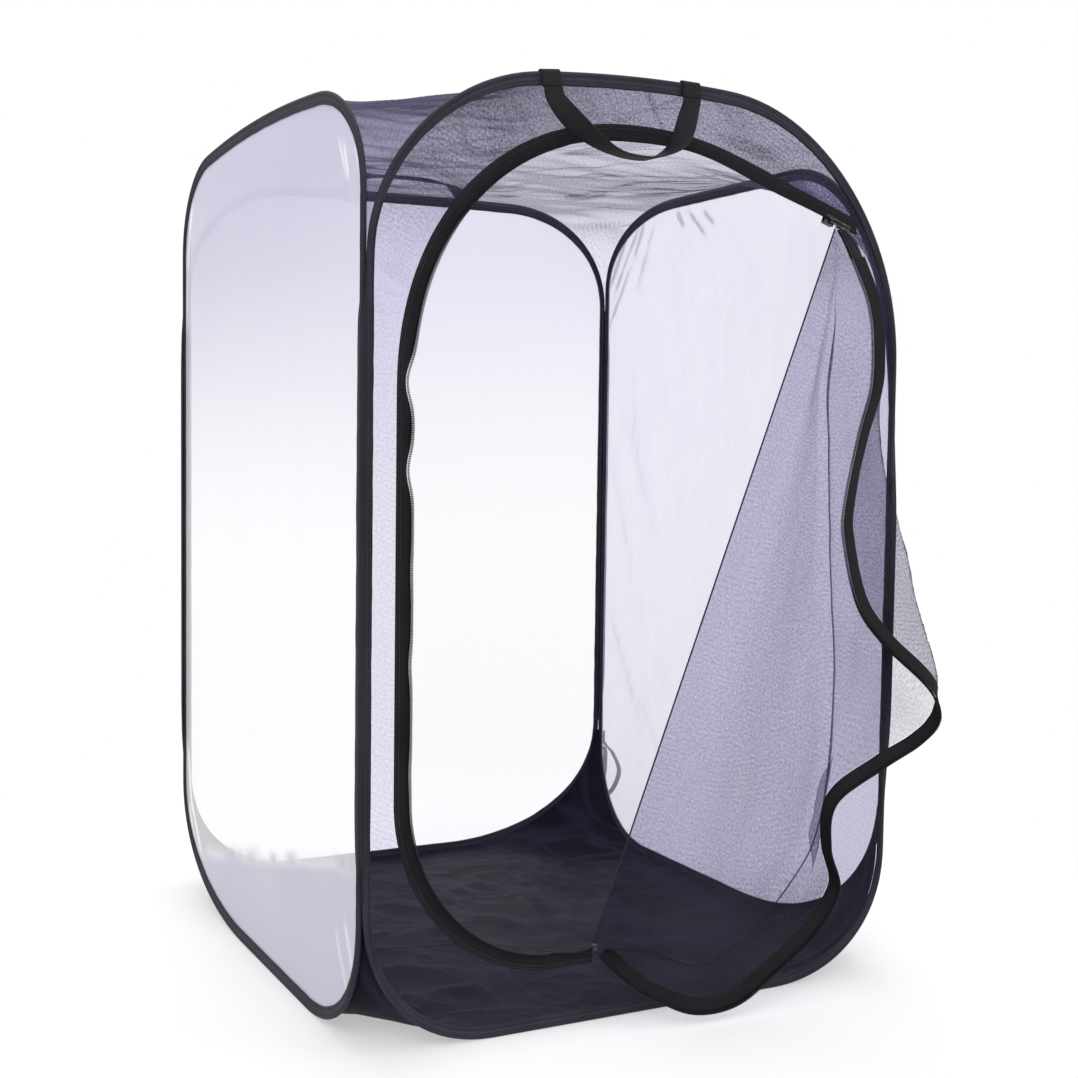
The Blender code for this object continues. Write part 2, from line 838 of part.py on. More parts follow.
def make_pull_tab(pin, bail_reach, along, inward, outward, material):
    """A flat tab with a window: its head bar lies under the bail, and one leg of the bail stands in
    the window."""
    bar = pull_tab_head / 2
    window_end = -(bail_reach + pull_tab_play)
    window_half = bail_wire / 2 + pull_tab_play
    side = pull_tab_width / 2
    chamfer = window_half * pull_tab_chamfer_share
    tail = -pull_tab_length
    tail_half = side * pull_tab_taper_share
    stations = [
        ((-bar, window_half - chamfer), (bar, side - chamfer)),
        ((-bar, chamfer - window_half), (bar, chamfer - side)),
        ((-bar - chamfer, -window_half), (bar - chamfer, -side)),
        ((window_end + chamfer, -window_half), (window_end, -side)),
        ((window_end, chamfer - window_half), (tail, -tail_half)),
        ((window_end, window_half - chamfer), (tail, tail_half)),
        ((window_end + chamfer, window_half), (window_end, side)),
        ((-bar - chamfer, window_half), (bar - chamfer, side)),
    ]
    rings = []
    for inner, outer in stations:
        ring = []
        for (step, width), level in ((inner, -1), (outer, -1), (outer, 1), (inner, 1)):
            ring.append(pin + along * step + inward * width + outward * (level * pull_tab_thickness / 2))
        rings.append(ring)
    loft("pull_tab", rings, material, closed=True, origin=pin, smooth=False)


def make_stops(materials):
    """The crimped stops at both ends of the fixed coil."""
    path = zip_path()
    lift = panel_thickness / 2 + seat_gap + zip_coil_height / 2
    outward = Vector((0, -1, 0))
    for name, end, inner in (("zip_stop_top", 0, 1), ("zip_stop_bottom", -1, -2)):
        finish, before = Vector(path[end]), Vector(path[inner])
        along = (finish - before).normalized()
        away = Vector((along.x, 0, along.y))
        sideways = Vector((-away.z, 0, away.x))
        place = side_point("front", finish.x, finish.y)
        centre_path = [place + away * seat_gap, place + away * (seat_gap + zip_stop_length)]
        strip_solid(
            name,
            centre_path,
            [sideways] * len(centre_path),
            [outward] * len(centre_path),
            zip_stop_width,
            zip_coil_height,
            materials["slider"],
            lift,
        )


def with_ends(knots):
    """The knots with one more beyond either end, mirrored in the end knot."""
    return [knots[0] + (knots[0] - knots[1])] + knots + [knots[-1] + (knots[-1] - knots[-2])]


def curve_point(knots, t):
    """The point at a share of the way from the second to the third of four knots, on the smooth curve
    through them."""
    p0, p1, p2, p3 = knots
    bend = (p0 * 2 - p1 * 5 + p2 * 4 - p3) * t * t + (p1 * 3 - p0 - p2 * 3 + p3) * t**3
    return (p1 * 2 + (p2 - p0) * t + bend) / 2


def smooth_curve(points, count):
    """Evenly numbered points on a smooth curve through the given points."""
    knots = [Vector(p) for p in points]
    ends = with_ends(knots)
    lengths = [0.0]
    for first, second in zip(knots, knots[1:]):
        lengths.append(lengths[-1] + (second - first).length)
    made = []
    for k in range(count + 1):
        want = lengths[-1] * k / count
        j = min(max(i for i in range(len(lengths)) if lengths[i] <= want + 1e-12), len(knots) - 2)
        t = (want - lengths[j]) / max(lengths[j + 1] - lengths[j], 1e-12)
        made.append(curve_point(ends[j : j + 4], t))
    return made


# The hanging flap's guide lines from the top of the fold line to its foot: the share of the way down,
# then shares of half_pitch across, of hoop_height up and of half_pitch forward of the front plane
flap_crest_shares = (
    (0.05, 0.682, 0.838, 0.030),
    (0.20, 0.576, 0.715, 0.060),
    (0.50, 0.361, 0.458, 0.086),
    (0.68, 0.228, 0.296, 0.093),
    (0.80, 0.146, 0.192, 0.099),
    (0.90, 0.007, 0.120, 0.086),
    (0.95, -0.099, 0.102, 0.046),
)
flap_valley_shares = (
    (0.05, 0.699, 0.839, 0.030),
    (0.12, 0.682, 0.783, 0.033),
    (0.20, 0.649, 0.713, 0.036),
    (0.30, 0.659, 0.633, 0.040),
    (0.50, 0.692, 0.441, 0.040),
    (0.60, 0.699, 0.328, 0.043),
    (0.66, 0.682, 0.251, 0.053),
    (0.72, 0.609, 0.181, 0.079),
    (0.77, 0.497, 0.138, 0.103),
    (0.82, 0.371, 0.102, 0.119),
    (0.87, 0.225, 0.072, 0.126),
    (0.91, 0.099, 0.063, 0.119),
    (0.95, -0.066, 0.086, 0.079),
)
flap_fold_shares = (
    (0.05, 0.722, 0.844, 0.040),
    (0.12, 0.795, 0.792, 0.046),
    (0.17, 0.841, 0.724, 0.046),
    (0.21, 0.868, 0.667, 0.050),
    (0.28, 0.927, 0.605, 0.053),
    (0.33, 0.980, 0.554, 0.053),
    (0.38, 1.036, 0.492, 0.056),
    (0.43, 1.089, 0.436, 0.056),
    (0.48, 1.136, 0.376, 0.060),
    (0.50, 1.129, 0.330, 0.020),
    (0.54, 1.020, 0.303, 0.040),
    (0.58, 0.868, 0.285, 0.060),
    (0.63, 0.672, 0.253, 0.073),
    (0.66, 0.609, 0.210, 0.086),
    (0.68, 0.579, 0.186, 0.099),
    (0.72, 0.596, 0.143, 0.116),
    (0.77, 0.517, 0.097, 0.129),
    (0.82, 0.358, 0.063, 0.146),
    (0.87, 0.219, 0.041, 0.152),
    (0.91, 0.079, 0.041, 0.139),
    (0.95, -0.066, 0.061, 0.099),
)
flap_edge_shares = (
    (0.05, 0.709, 0.855, 0.106),
    (0.12, 0.788, 0.792, 0.113),
    (0.17, 0.801, 0.714, 0.113),
    (0.21, 0.748, 0.655, 0.119),
    (0.28, 0.689, 0.574, 0.126),
    (0.31, 0.685, 0.538, 0.126),
    (0.37, 0.755, 0.456, 0.126),
    (0.42, 0.887, 0.407, 0.113),
    (0.48, 1.119, 0.345, 0.099),
    (0.50, 1.159, 0.312, 0.099),
    (0.54, 1.066, 0.284, 0.106),
    (0.58, 0.894, 0.260, 0.113),
    (0.63, 0.682, 0.226, 0.132),
    (0.68, 0.649, 0.174, 0.146),
    (0.72, 0.679, 0.127, 0.159),
    (0.77, 0.573, 0.080, 0.166),
    (0.82, 0.404, 0.043, 0.172),
    (0.87, 0.242, 0.015, 0.179),
    (0.91, 0.073, 0.014, 0.172),
    (0.95, -0.093, 0.041, 0.132),
)


def guide_point(shares, way):
    """The point of one of the flap's guide lines at a share of the way down it."""
    knots = [
        Vector((across * half_pitch, -half_pitch - forward * half_pitch, up * hoop_height))
        for _, across, up, forward in shares
    ]
    places = [row[0] for row in shares]
    j = min(max(sum(p <= way for p in places) - 1, 0), len(places) - 2)
    slopes = []
    for k in (j, j + 1):
        low, high = max(k - 1, 0), min(k + 1, len(places) - 1)
        slopes.append((knots[high] - knots[low]) / (places[high] - places[low]))
    span = places[j + 1] - places[j]
    t = (way - places[j]) / span
    return (
        knots[j] * (2 * t**3 - 3 * t**2 + 1)
        + slopes[0] * (span * (t**3 - 2 * t**2 + t))
        + knots[j + 1] * (3 * t**2 - 2 * t**3)
        + slopes[1] * (span * (t**3 - t**2))
    )


def flap_surface():
    """Rows of points of the hanging flap, from the fold line to its free edge."""
    hinge_out = panel_thickness / 2 + seat_gap + flap_thickness / 2
    top = side_point("front", door_top_across, door_top_up, hinge_out)
    foot = side_point("front", door_foot_across, door_foot_up, hinge_out)
    guides = (flap_crest_shares, flap_valley_shares, flap_fold_shares, flap_edge_shares)
    rows = []
    for v in range(flap_rows + 1):
        way = flap_start_share + (1 - 2 * flap_start_share) * v / flap_rows
        knots = [top.lerp(foot, way)] + [guide_point(shares, way) for shares in guides]
        ends = with_ends(knots)
        row = [knots[0]]
        for j, steps in enumerate(flap_column_steps):
            row += [curve_point(ends[j : j + 4], k / steps) for k in range(1, steps + 1)]
        rows.append(row)
    return rows


def make_door_flap(materials):
    """The flap of net with its half of the zip sewn along the free edge, edge to edge."""
    rows = flap_surface()
    hinge = side_point("front", door_foot_across, door_foot_up, panel_thickness / 2 + seat_gap / 2)
    tips = [row[-1] for row in rows]
    ways = [(row[-2] - row[-1]).normalized() for row in rows]
    seam = zip_tape_width + flap_seam_gap
    net = [row[:-1] + [tip + way * seam] for row, tip, way in zip(rows, tips, ways)]
    points = [p for row in net for p in row]
    cloth("door_flap", points, grid_faces(len(net), len(net[0])), flap_thickness, materials["net"], hinge)
    tape = []
    for tip, way in zip(tips, ways):
        tape += [tip, tip + way * zip_tape_width]
    cloth("flap_zip_tape", tape, grid_faces(len(tips), 2), zip_tape_thickness, materials["zip"], hinge)
    coil, normals, widths = [], [], []
    for k, (tip, way) in enumerate(zip(tips, ways)):
        run = (tips[min(k + 1, len(tips) - 1)] - tips[max(k - 1, 0)]).normalized()
        flat = (way - run * way.dot(run)).normalized()
        coil.append(tip - flat * (flap_coil_gap + zip_coil_width / 2))
        widths.append(flat)
        normals.append(flat.cross(run).normalized())
    strip_solid(
        "flap_zip_coil", coil, widths, normals, zip_coil_width, zip_coil_height, materials["coil"], 0.0, hinge
    )


def hoop_top(side, across):
    """The height of a hoop's outer edge at a place across its top."""
    path = hoop_outline(side, 0.0, finer=3)
    best = None
    for first, second in zip(path, path[1:]):
        if first[0] <= across <= second[0] and first[1] > hoop_height / 2:
            share = (across - first[0]) / max(second[0] - first[0], 1e-9)
            best = first[1] + (second[1] - first[1]) * share
    return best


def make_handle_end(name, side, across, material):
    """Webbing folded over the hoop's top edge and sewn down its outer face. Gives the middle of its
    lower edge and the directions across and down it."""
    half = webbing_width / 2
    low, high = hoop_top(side, across - half), hoop_top(side, across + half)
    axis = (side_point(side, half, high) - side_point(side, -half, low)).normalized()
    outward = side_point(side, 0, 0, 1) - side_point(side, 0, 0, 0)
    lift = axis.cross(outward)
    if lift.z < 0:
        lift = -lift
    radius = bead_radius + handle_end_ease + webbing_thickness / 2
    centre = side_point(side, across, (low + high) / 2) - lift * bead_radius
    shape = []
    for k in range(handle_fold_steps + 1):
        angle = math.radians(180 * (1 - k / handle_fold_steps))
        shape.append((radius * math.cos(angle), radius * math.sin(angle)))
    shape.append((radius, bead_radius - handle_end_depth))
    path = [centre + outward * out + lift * up for out, up in shape]
    normals = []
    for k in range(len(path)):
        run = (path[min(k + 1, len(path) - 1)] - path[max(k - 1, 0)]).normalized()
        normals.append(run.cross(axis).normalized())
    strip_solid(name, path, [axis] * len(path), normals, webbing_width, webbing_thickness, material)
    return path[-1] - lift * seat_gap, axis, -lift


def make_handle(name, side, ends, drop, reach, course_shares, turn_shares, material):
    """A loop of webbing between two sewn ends, which hangs down where drop is above zero and
    stands up where it is below. Its flat side faces out at the ends and turns a quarter on the way."""
    first, first_axis, first_down = make_handle_end(name + "_low_end", side, ends[0], material)
    second, second_axis, second_down = make_handle_end(name + "_high_end", side, ends[1], material)
    outward = side_point(side, 0, 0, 1) - side_point(side, 0, 0, 0)
    down = Vector((0, 0, -1))
    lap = outward * (webbing_thickness + seat_gap)
    first, second = first + lap, second + lap
    way = 1 if drop > 0 else -1
    knots = []
    for place, fall, out in course_shares:
        knots.append(first.lerp(second, place) + down * (drop * fall) + outward * (reach * out))
    steps = handle_steps
    path = smooth_curve(knots, steps)
    turn_start, turn_end = turn_shares
    widths, normals = [], []
    for k, point in enumerate(path):
        run = (path[min(k + 1, steps)] - path[max(k - 1, 0)]).normalized()
        if k == 0:
            run = first_down * way
        if k == steps:
            run = -second_down * way
        share = min(k, steps - k) / steps
        turn = min(max((share - turn_start) / (turn_end - turn_start), 0.0), 1.0) * math.pi / 2
        axis = first_axis.lerp(second_axis, k / steps).normalized()
        flat = axis * math.cos(turn) + outward * math.sin(turn)
        flat = (flat - run * flat.dot(run)).normalized()
        widths.append(flat)
        normals.append(run.cross(flat).normalized())
    strip_solid(name, path, widths, normals, webbing_width, webbing_thickness, material, 0.0, first)


def make_storage_loop(material):
    """An elastic loop that hangs outside the lower back right corner from a sewn pad."""
    right = Vector((1, 0, 0))
    outward = Vector((0, 1, 0))
    down = Vector((0, 0, -1))
    pad_across = half_pitch + bead_radius + seat_gap + loop_band_thickness / 2
    pad_up = seam_height("back_right", False) - loop_seam_drop - loop_pad_length
    pad_low = side_point("back", pad_across, pad_up) - outward * (loop_band_width / 2)
    pad_path = [pad_low, pad_low - down * loop_pad_length]
    strip_solid(
        "storage_loop_pad",
        pad_path,
        [outward] * len(pad_path),
        [right] * len(pad_path),
        loop_band_width,
        loop_band_thickness,
        material,
    )
    start = pad_low + right * (loop_band_thickness + seat_gap)
    half = loop_width / 2
    knots = []
    for spread, fall in loop_course_shares:
        sway = loop_sway_share * math.sin(math.pi * min(fall, 1.0))
        knots.append(start + right * (half * (spread + sway)) + down * (loop_drop * fall))
    steps = loop_steps
    path = smooth_curve(knots, steps)
    normals = []
    for k in range(len(path)):
        run = (path[min(k + 1, steps)] - path[max(k - 1, 0)]).normalized()
        if k == 0:
            run = down
        normals.append(run.cross(outward).normalized())
    strip_solid(
        "storage_loop",
        path,
        [outward] * len(path),
        normals,
        loop_band_width,
        loop_band_thickness,
        material,
        0.0,
        start,
    )


def main():
    for old in list(bpy.data.objects):
        bpy.data.objects.remove(old)
    materials = {
        "steel": make_material("spring_steel", (0.55, 0.56, 0.58), 0.3, 1.0),
        "binding": make_material("binding_tape", (0.045, 0.045, 0.055), 0.7),
        "net": make_material("black_net", (0.05, 0.05, 0.06), 0.8, 0.0, 0.5),
        "film": make_material("clear_film", (0.85, 0.86, 0.92), 0.12, 0.0, 0.3),
        "sheer": make_material("sheer_cloth", (0.80, 0.80, 0.90), 0.6, 0.0, 0.5),
        "nylon": make_material("floor_nylon", (0.025, 0.025, 0.04), 0.45),
        "zip": make_material("zip_tape", (0.01, 0.01, 0.012), 0.8),
        "coil": make_material("zip_coil", (0.02, 0.02, 0.02), 0.4),
        "slider": make_material("slider_metal", (0.03, 0.03, 0.035), 0.35, 0.8),
        "webbing": make_material("webbing", (0.012, 0.012, 0.015), 0.75),
    }
    for side in sides:
        make_hoop(side, materials)
    make_plain_panel("left_window", "left", materials["film"])
    make_plain_panel("back_window", "back", materials["film"])
    make_plain_panel("right_panel", "right", materials["sheer"])
    make_front_panel(materials["net"])
    make_spanning_net("roof_net", True, materials["net"])
    make_spanning_net("floor_sheet", False, materials["nylon"])
    for corner in corners:
        make_seam_tape(corner, materials["binding"])
    tape_lift = make_panel_zip(materials)
    make_stops(materials)
    make_slider(tape_lift, materials)
    make_door_flap(materials)
    make_handle(
        "front_handle",
        "front",
        front_handle_ends,
        front_handle_drop,
        front_handle_reach,
        hanging_course_shares,
        hanging_turn_shares,
        materials["webbing"],
    )
    make_handle(
        "back_handle",
        "back",
        back_handle_ends,
        -back_handle_rise,
        back_handle_reach,
        standing_course_shares,
        standing_turn_shares,
        materials["webbing"],
    )
    make_storage_loop(materials["webbing"])


main()
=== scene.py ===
"""A pop-up insect cage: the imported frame, dressed with its cloth, net, film, zip and webbing."""

import math
from functools import partialmethod
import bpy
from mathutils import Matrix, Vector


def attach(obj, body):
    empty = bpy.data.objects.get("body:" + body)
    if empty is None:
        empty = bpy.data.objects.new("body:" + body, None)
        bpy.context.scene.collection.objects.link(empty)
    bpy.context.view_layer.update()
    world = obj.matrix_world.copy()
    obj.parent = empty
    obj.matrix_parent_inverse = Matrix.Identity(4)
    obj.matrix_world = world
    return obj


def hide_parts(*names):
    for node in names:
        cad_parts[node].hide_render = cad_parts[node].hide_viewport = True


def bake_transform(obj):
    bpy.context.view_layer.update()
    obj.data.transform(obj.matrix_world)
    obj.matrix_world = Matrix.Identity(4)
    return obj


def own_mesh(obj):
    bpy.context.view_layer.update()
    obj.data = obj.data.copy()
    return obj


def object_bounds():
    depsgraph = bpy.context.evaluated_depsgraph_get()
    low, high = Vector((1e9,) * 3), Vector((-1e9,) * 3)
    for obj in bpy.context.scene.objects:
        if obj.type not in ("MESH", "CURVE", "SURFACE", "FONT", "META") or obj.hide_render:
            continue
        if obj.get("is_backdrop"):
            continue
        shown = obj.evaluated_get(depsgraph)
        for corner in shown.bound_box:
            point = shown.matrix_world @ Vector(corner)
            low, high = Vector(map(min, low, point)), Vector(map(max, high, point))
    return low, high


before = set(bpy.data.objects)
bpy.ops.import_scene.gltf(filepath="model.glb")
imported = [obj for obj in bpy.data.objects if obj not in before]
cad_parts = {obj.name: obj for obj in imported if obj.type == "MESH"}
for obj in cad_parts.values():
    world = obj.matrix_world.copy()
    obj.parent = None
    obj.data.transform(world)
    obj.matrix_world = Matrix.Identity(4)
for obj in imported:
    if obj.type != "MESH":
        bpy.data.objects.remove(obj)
cad_box = [list(v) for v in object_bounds()]

import bmesh
import bpy
import numpy as np
from mathutils import Matrix, Vector, noise

# The cage's own sizes, in metres
cage_width = 0.610
cage_height = 0.914
front_crown = 0.033
side_crown = 0.021
back_crown = 0.005
seat_gap = 0.0003
bead_radius = 0.003
band_width = 0.013
seam_band_width = 0.0072
band_edge_cloth = 0.0008
corner_reach = 0.136
corner_edge_inset = 0.0015
corner_power = 2.15
corner_steps = 7
crown_steps = 4
upright_steps = 2
foot_steps = 2
panel_thickness = 0.0008
panel_bite = 0.0052
roof_sag = 0.010
net_seat_depth = 0.0058
net_lift = 0.010
floor_slack = 0.004
gore_hold_shares = (1.0, 1.0, 0.9, 0.6, 0.25)
seam_tape_width = 0.0065
seam_tape_thickness = 0.0008
seam_end_sink = 0.0035
blend_reach = 0.006
zip_tape_width = 0.015
zip_tape_lap = 0.006
zip_tape_thickness = 0.001
zip_tape_overrun = 0.025
zip_coil_width = 0.0028
zip_coil_height = 0.0026
flap_thickness = 0.0008
flap_start_share = 0.05
flap_tip_share = 0.006
flap_seam_gap = 0.0008
flap_tuck = 0.009
flap_rows = 240
flap_column_steps = (11, 17, 18, 10)
flap_valley_column = 28
flap_tail_column = 30
flap_run = 0.79
thread_seat = 0.0001
webbing_width = 0.020
webbing_thickness = 0.0016
handle_end_depth = 0.015
handle_end_ease = 0.0006
loop_seam_drop = 0.015
loop_drop = 0.080
loop_width = 0.027
loop_band_width = 0.010
loop_band_thickness = 0.0014
loop_pad_length = 0.016
loop_sway_share = 1.15
half_pitch = cage_width / 2 - bead_radius
half_edge = half_pitch - corner_edge_inset
hoop_height = cage_height - front_crown
panel_slit = panel_thickness / 2 + seat_gap
sides = ("front", "left", "back", "right")
hoop_crowns = {"front": front_crown, "left": side_crown, "back": back_crown, "right": 0.0}
corners = {
    "back_left": (("back", -1), ("left", 1)),
    "back_right": (("back", 1), ("right", 1)),
    "front_left": (("front", -1), ("left", -1)),
    "front_right": (("front", 1), ("right", -1)),
}

# Each hoop's corners as (across, up) shares of corner_reach: top high, top low, foot low, foot high
hoop_corner_shares = {
    "front": ((1.65, 1.75), (1.30, 1.15), (1.00, 1.05), (1.05, 0.98)),
    "left": ((0.80, 0.72), (0.88, 0.70), (1.02, 0.92), (1.85, 1.00)),
    "back": ((1.14, 0.99), (1.05, 1.05), (1.05, 1.05), (1.75, 1.22)),
    "right": ((1.30, 0.80), (1.40, 2.30), (1.90, 1.45), (0.92, 1.08)),
}


def on_front(across_share, up_share):
    """A place on the front side, from shares of its half width and its height."""
    return across_share * half_pitch, up_share * hoop_height


# The door's cut, as places on the front side
door_top = on_front(0.717, 0.897)
door_foot = on_front(-0.199, 0.083)
door_turn = on_front(0.530, 0.919)
door_arch = on_front(-0.088, 0.968)
door_shoulder = on_front(-0.847, 0.694)
door_heel = on_front(-0.847, 0.267)
door_toe_across = -0.345 * half_pitch
door_ease_share = 0.42
door_arch_power = 2.17
door_heel_power = 1.96

# Courses of the loop and the handles, as shares of their reaches
loop_course = (
    (0.0, 0.0), (0.0, 0.08), (0.35, 0.22), (0.80, 0.56), (0.75, 0.88), (0.0, 1.0),
    (-0.75, 0.88), (-1.0, 0.60), (-0.80, 0.34), (-0.42, 0.18), (-0.30, 0.10),
)
hanging_course = (
    (0.0, 0.0, 0.0), (0.03, 0.20, 0.0), (0.17, 0.58, 0.45), (0.36, 0.90, 0.92), (0.53, 1.0, 1.0),
    (0.70, 0.97, 0.92), (0.88, 0.72, 0.45), (0.975, 0.25, 0.0), (1.0, 0.0, 0.0),
)
standing_course = (
    (0.0, 0.0, 0.0), (0.0, 0.30, 0.05), (0.02, 0.58, 0.20), (0.12, 0.86, 0.70),
    (0.30, 0.98, 1.0), (0.5, 1.0, 1.0), (0.70, 0.98, 1.0), (0.88, 0.86, 0.70),
    (0.98, 0.58, 0.20), (1.0, 0.30, 0.05), (1.0, 0.0, 0.0),
)

# The flap's guide lines: share of the way down, then shares across, up and forward
flap_crest = (
    (0.05, 0.682, 0.838, 0.030), (0.20, 0.576, 0.715, 0.060), (0.50, 0.361, 0.458, 0.086),
    (0.68, 0.228, 0.296, 0.093), (0.80, 0.146, 0.192, 0.099), (0.90, 0.007, 0.120, 0.086),
    (0.95, -0.099, 0.102, 0.046),
)
flap_valley = (
    (0.05, 0.699, 0.839, 0.030), (0.12, 0.682, 0.783, 0.033), (0.20, 0.649, 0.713, 0.036),
    (0.30, 0.659, 0.633, 0.040), (0.50, 0.692, 0.441, 0.040), (0.60, 0.699, 0.328, 0.043),
    (0.66, 0.682, 0.251, 0.053), (0.72, 0.609, 0.181, 0.079), (0.77, 0.497, 0.138, 0.103),
    (0.82, 0.371, 0.102, 0.119), (0.87, 0.225, 0.072, 0.126), (0.91, 0.099, 0.063, 0.119),
    (0.95, -0.066, 0.086, 0.079),
)
flap_fold = (
    (0.05, 0.722, 0.844, 0.040), (0.12, 0.795, 0.792, 0.046), (0.17, 0.841, 0.724, 0.046),
    (0.21, 0.868, 0.667, 0.050), (0.28, 0.927, 0.605, 0.053), (0.33, 0.980, 0.554, 0.053),
    (0.38, 1.036, 0.492, 0.056), (0.43, 1.089, 0.436, 0.056), (0.48, 1.136, 0.376, 0.060),
    (0.50, 1.129, 0.330, 0.020), (0.54, 1.020, 0.303, 0.040), (0.58, 0.868, 0.285, 0.060),
    (0.63, 0.672, 0.253, 0.073), (0.66, 0.609, 0.210, 0.086), (0.68, 0.579, 0.186, 0.099),
    (0.72, 0.596, 0.143, 0.116), (0.77, 0.517, 0.097, 0.129), (0.82, 0.358, 0.063, 0.146),
    (0.87, 0.219, 0.041, 0.152), (0.91, 0.079, 0.041, 0.139), (0.95, -0.066, 0.061, 0.099),
)
flap_edge = (
    (0.05, 0.709, 0.855, 0.106), (0.12, 0.788, 0.792, 0.113), (0.17, 0.801, 0.714, 0.113),
    (0.21, 0.748, 0.655, 0.119), (0.28, 0.689, 0.574, 0.126), (0.31, 0.685, 0.538, 0.126),
    (0.37, 0.755, 0.456, 0.126), (0.42, 0.887, 0.407, 0.113), (0.48, 1.119, 0.345, 0.099),
    (0.50, 1.159, 0.312, 0.099), (0.54, 1.066, 0.284, 0.106), (0.58, 0.894, 0.260, 0.113),
    (0.63, 0.682, 0.226, 0.132), (0.68, 0.649, 0.174, 0.146), (0.72, 0.679, 0.127, 0.159),
    (0.77, 0.573, 0.080, 0.166), (0.82, 0.404, 0.043, 0.172), (0.87, 0.242, 0.015, 0.179),
    (0.91, 0.073, 0.014, 0.172), (0.95, -0.093, 0.041, 0.132),
)

# Where the fixed zip tape turns edge-on: height, reach up and down, and degrees
tape_turn_places = (
    (0.619, 0.027, 78), (0.539, 0.026, 66), (0.447, 0.024, 22),
    (0.361, 0.024, 34), (0.262, 0.024, 24), (0.710, 0.024, 14),
)

# Lines drawn into a cloth: their two ends on it, half width and strength. On the left film they are
# painted glints, painted reflections along its edges; on the sheer they are folds that dent it and
# darken its colour with painted shade; on the roof, a crease.
drawn_folds_and_glints = {
    # painted glints: painted reflections along the film's edges
    "left_film": (
        ((-0.262, 0.876), (-0.285, 0.811), 0.0030, 1.0),
        ((-0.246, 0.836), (-0.256, 0.802), 0.0026, 0.9),
        ((-0.233, 0.842), (-0.250, 0.806), 0.0026, 0.6),
        ((0.262, 0.850), (0.288, 0.765), 0.0060, 1.0),
        ((0.276, 0.805), (0.289, 0.700), 0.0050, 1.0),
        ((0.284, 0.180), (0.262, 0.105), 0.0060, 0.8),
        ((0.270, 0.120), (0.225, 0.060), 0.0040, 0.8),
        ((-0.262, 0.120), (-0.287, 0.070), 0.0030, 0.5),
        ((-0.240, 0.105), (-0.272, 0.048), 0.0025, 0.4),
    ),
    # folds that dent the sheer and darken its colour with painted shade
    "right_sheer": (
        ((0.245, 0.846), (0.293, 0.773), 0.004, 1.0),
        ((0.202, 0.860), (0.228, 0.809), 0.004, 0.8),
        ((0.228, 0.809), (0.292, 0.722), 0.004, 0.8),
        ((0.175, 0.858), (0.222, 0.767), 0.005, 0.6),
        ((0.2145, 0.856), (0.282, 0.761), 0.004, 0.8),
        ((0.1245, 0.8625), (0.107, 0.841), 0.004, 0.9),
        ((0.101, 0.863), (0.055, 0.823), 0.004, 0.8),
        ((0.065, 0.858), (0.038, 0.836), 0.004, 0.8),
        ((0.265, 0.640), (0.150, 0.430), 0.010, 0.22),
        ((0.285, 0.560), (0.215, 0.380), 0.010, 0.25),
        ((0.240, 0.700), (0.205, 0.520), 0.010, 0.18),
        ((0.280, 0.330), (0.180, 0.170), 0.010, 0.30),
        ((0.240, 0.260), (0.130, 0.150), 0.008, 0.25),
    ),
    "roof_cloth": (((0.240, 0.285), (0.290, 0.230), 0.003, 0.5),),
}


def side_point(side, across, up, out=0.0):
    """A point of one side of the cage: across it, up, and out from its plane."""
    depth = half_pitch + out if side in ("back", "right") else -half_pitch - out
    return Vector((across, depth, up) if side in ("front", "back") else (depth, across, up))


def outward_of(side):
    return side_point(side, 0, 0, 1) - side_point(side, 0, 0, 0)


def corner_arc(centre, reach, start, end, power, steps):
    """Points of a rounded corner between two angles in degrees, both ends included."""
    points = []
    for k in range(steps + 1):
        angle = math.radians(start + (end - start) * k / steps)
        turn = (math.cos(angle), math.sin(angle))
        bent = [math.copysign(abs(t) ** (2 / power), t) for t in turn]
        points.append(tuple(m + r * t for m, r, t in zip(centre, reach, bent)))
    return points


def between(start, end, steps):
    """Inner points of a straight run."""
    return [tuple(a + (b - a) * k / steps for a, b in zip(start, end)) for k in range(1, steps)]


def hoop_outline(side, inset, finer=1):
    """One hoop's curve at a depth inside the binding's outer edge, as points (across, up)
    that go up the low side, over the top, down the high side and back along the foot."""
    low, high = inset, hoop_height - inset
    edge = half_edge - inset
    reaches = [[share * corner_reach - inset for share in pair] for pair in hoop_corner_shares[side]]
    top_high, top_low, foot_low, foot_high = reaches
    corner_places = (
        ((-edge + top_low[0], high - top_low[1]), top_low, 180, 90, crown_steps),
        ((edge - top_high[0], high - top_high[1]), top_high, 90, 0, upright_steps),
        ((edge - foot_high[0], low + foot_high[1]), foot_high, 0, -90, foot_steps),
        ((-edge + foot_low[0], low + foot_low[1]), foot_low, 270, 180, upright_steps),
    )
    arcs = [corner_arc(*place[:4], corner_power, corner_steps * finer) for place in corner_places]
    points = []
    for k, (arc, place) in enumerate(zip(arcs, corner_places)):
        points += arc + between(arc[-1], arcs[(k + 1) % len(arcs)][0], place[-1] * finer)
    crowned = []
    for across, up in points:
        rise = max(2 * (up - low) / (high - low) - 1, 0.0) ** 2
        crowned.append((across, up + hoop_crowns[side] * (1 - (across / half_edge) ** 2) * rise))
    return crowned


def arc_start(side, end, top):
    """The height where a hoop's straight upright ends, at its low (-1) or high (1) side."""
    shares = hoop_corner_shares[side]
    if top:
        return hoop_height - corner_reach * shares[0 if end > 0 else 1][1]
    return corner_reach * shares[3 if end > 0 else 2][1]


def seam_height(corner, top):
    """The height where two neighbouring hoops part at a corner."""
    heights = [arc_start(side, end, top) for side, end in corners[corner]]
    return min(heights) if top else max(heights)


def tangents(points, closed=False):
    """Unit directions along a path, each from the point before to the point after."""
    made, last = [], len(points) - 1
    for k in range(len(points)):
        before = points[k - 1 if closed or k else 0]
        after = points[(k + 1) % len(points) if closed else min(k + 1, last)]
        made.append(Vector([b - a for a, b in zip(before, after)]).normalized())
    return made


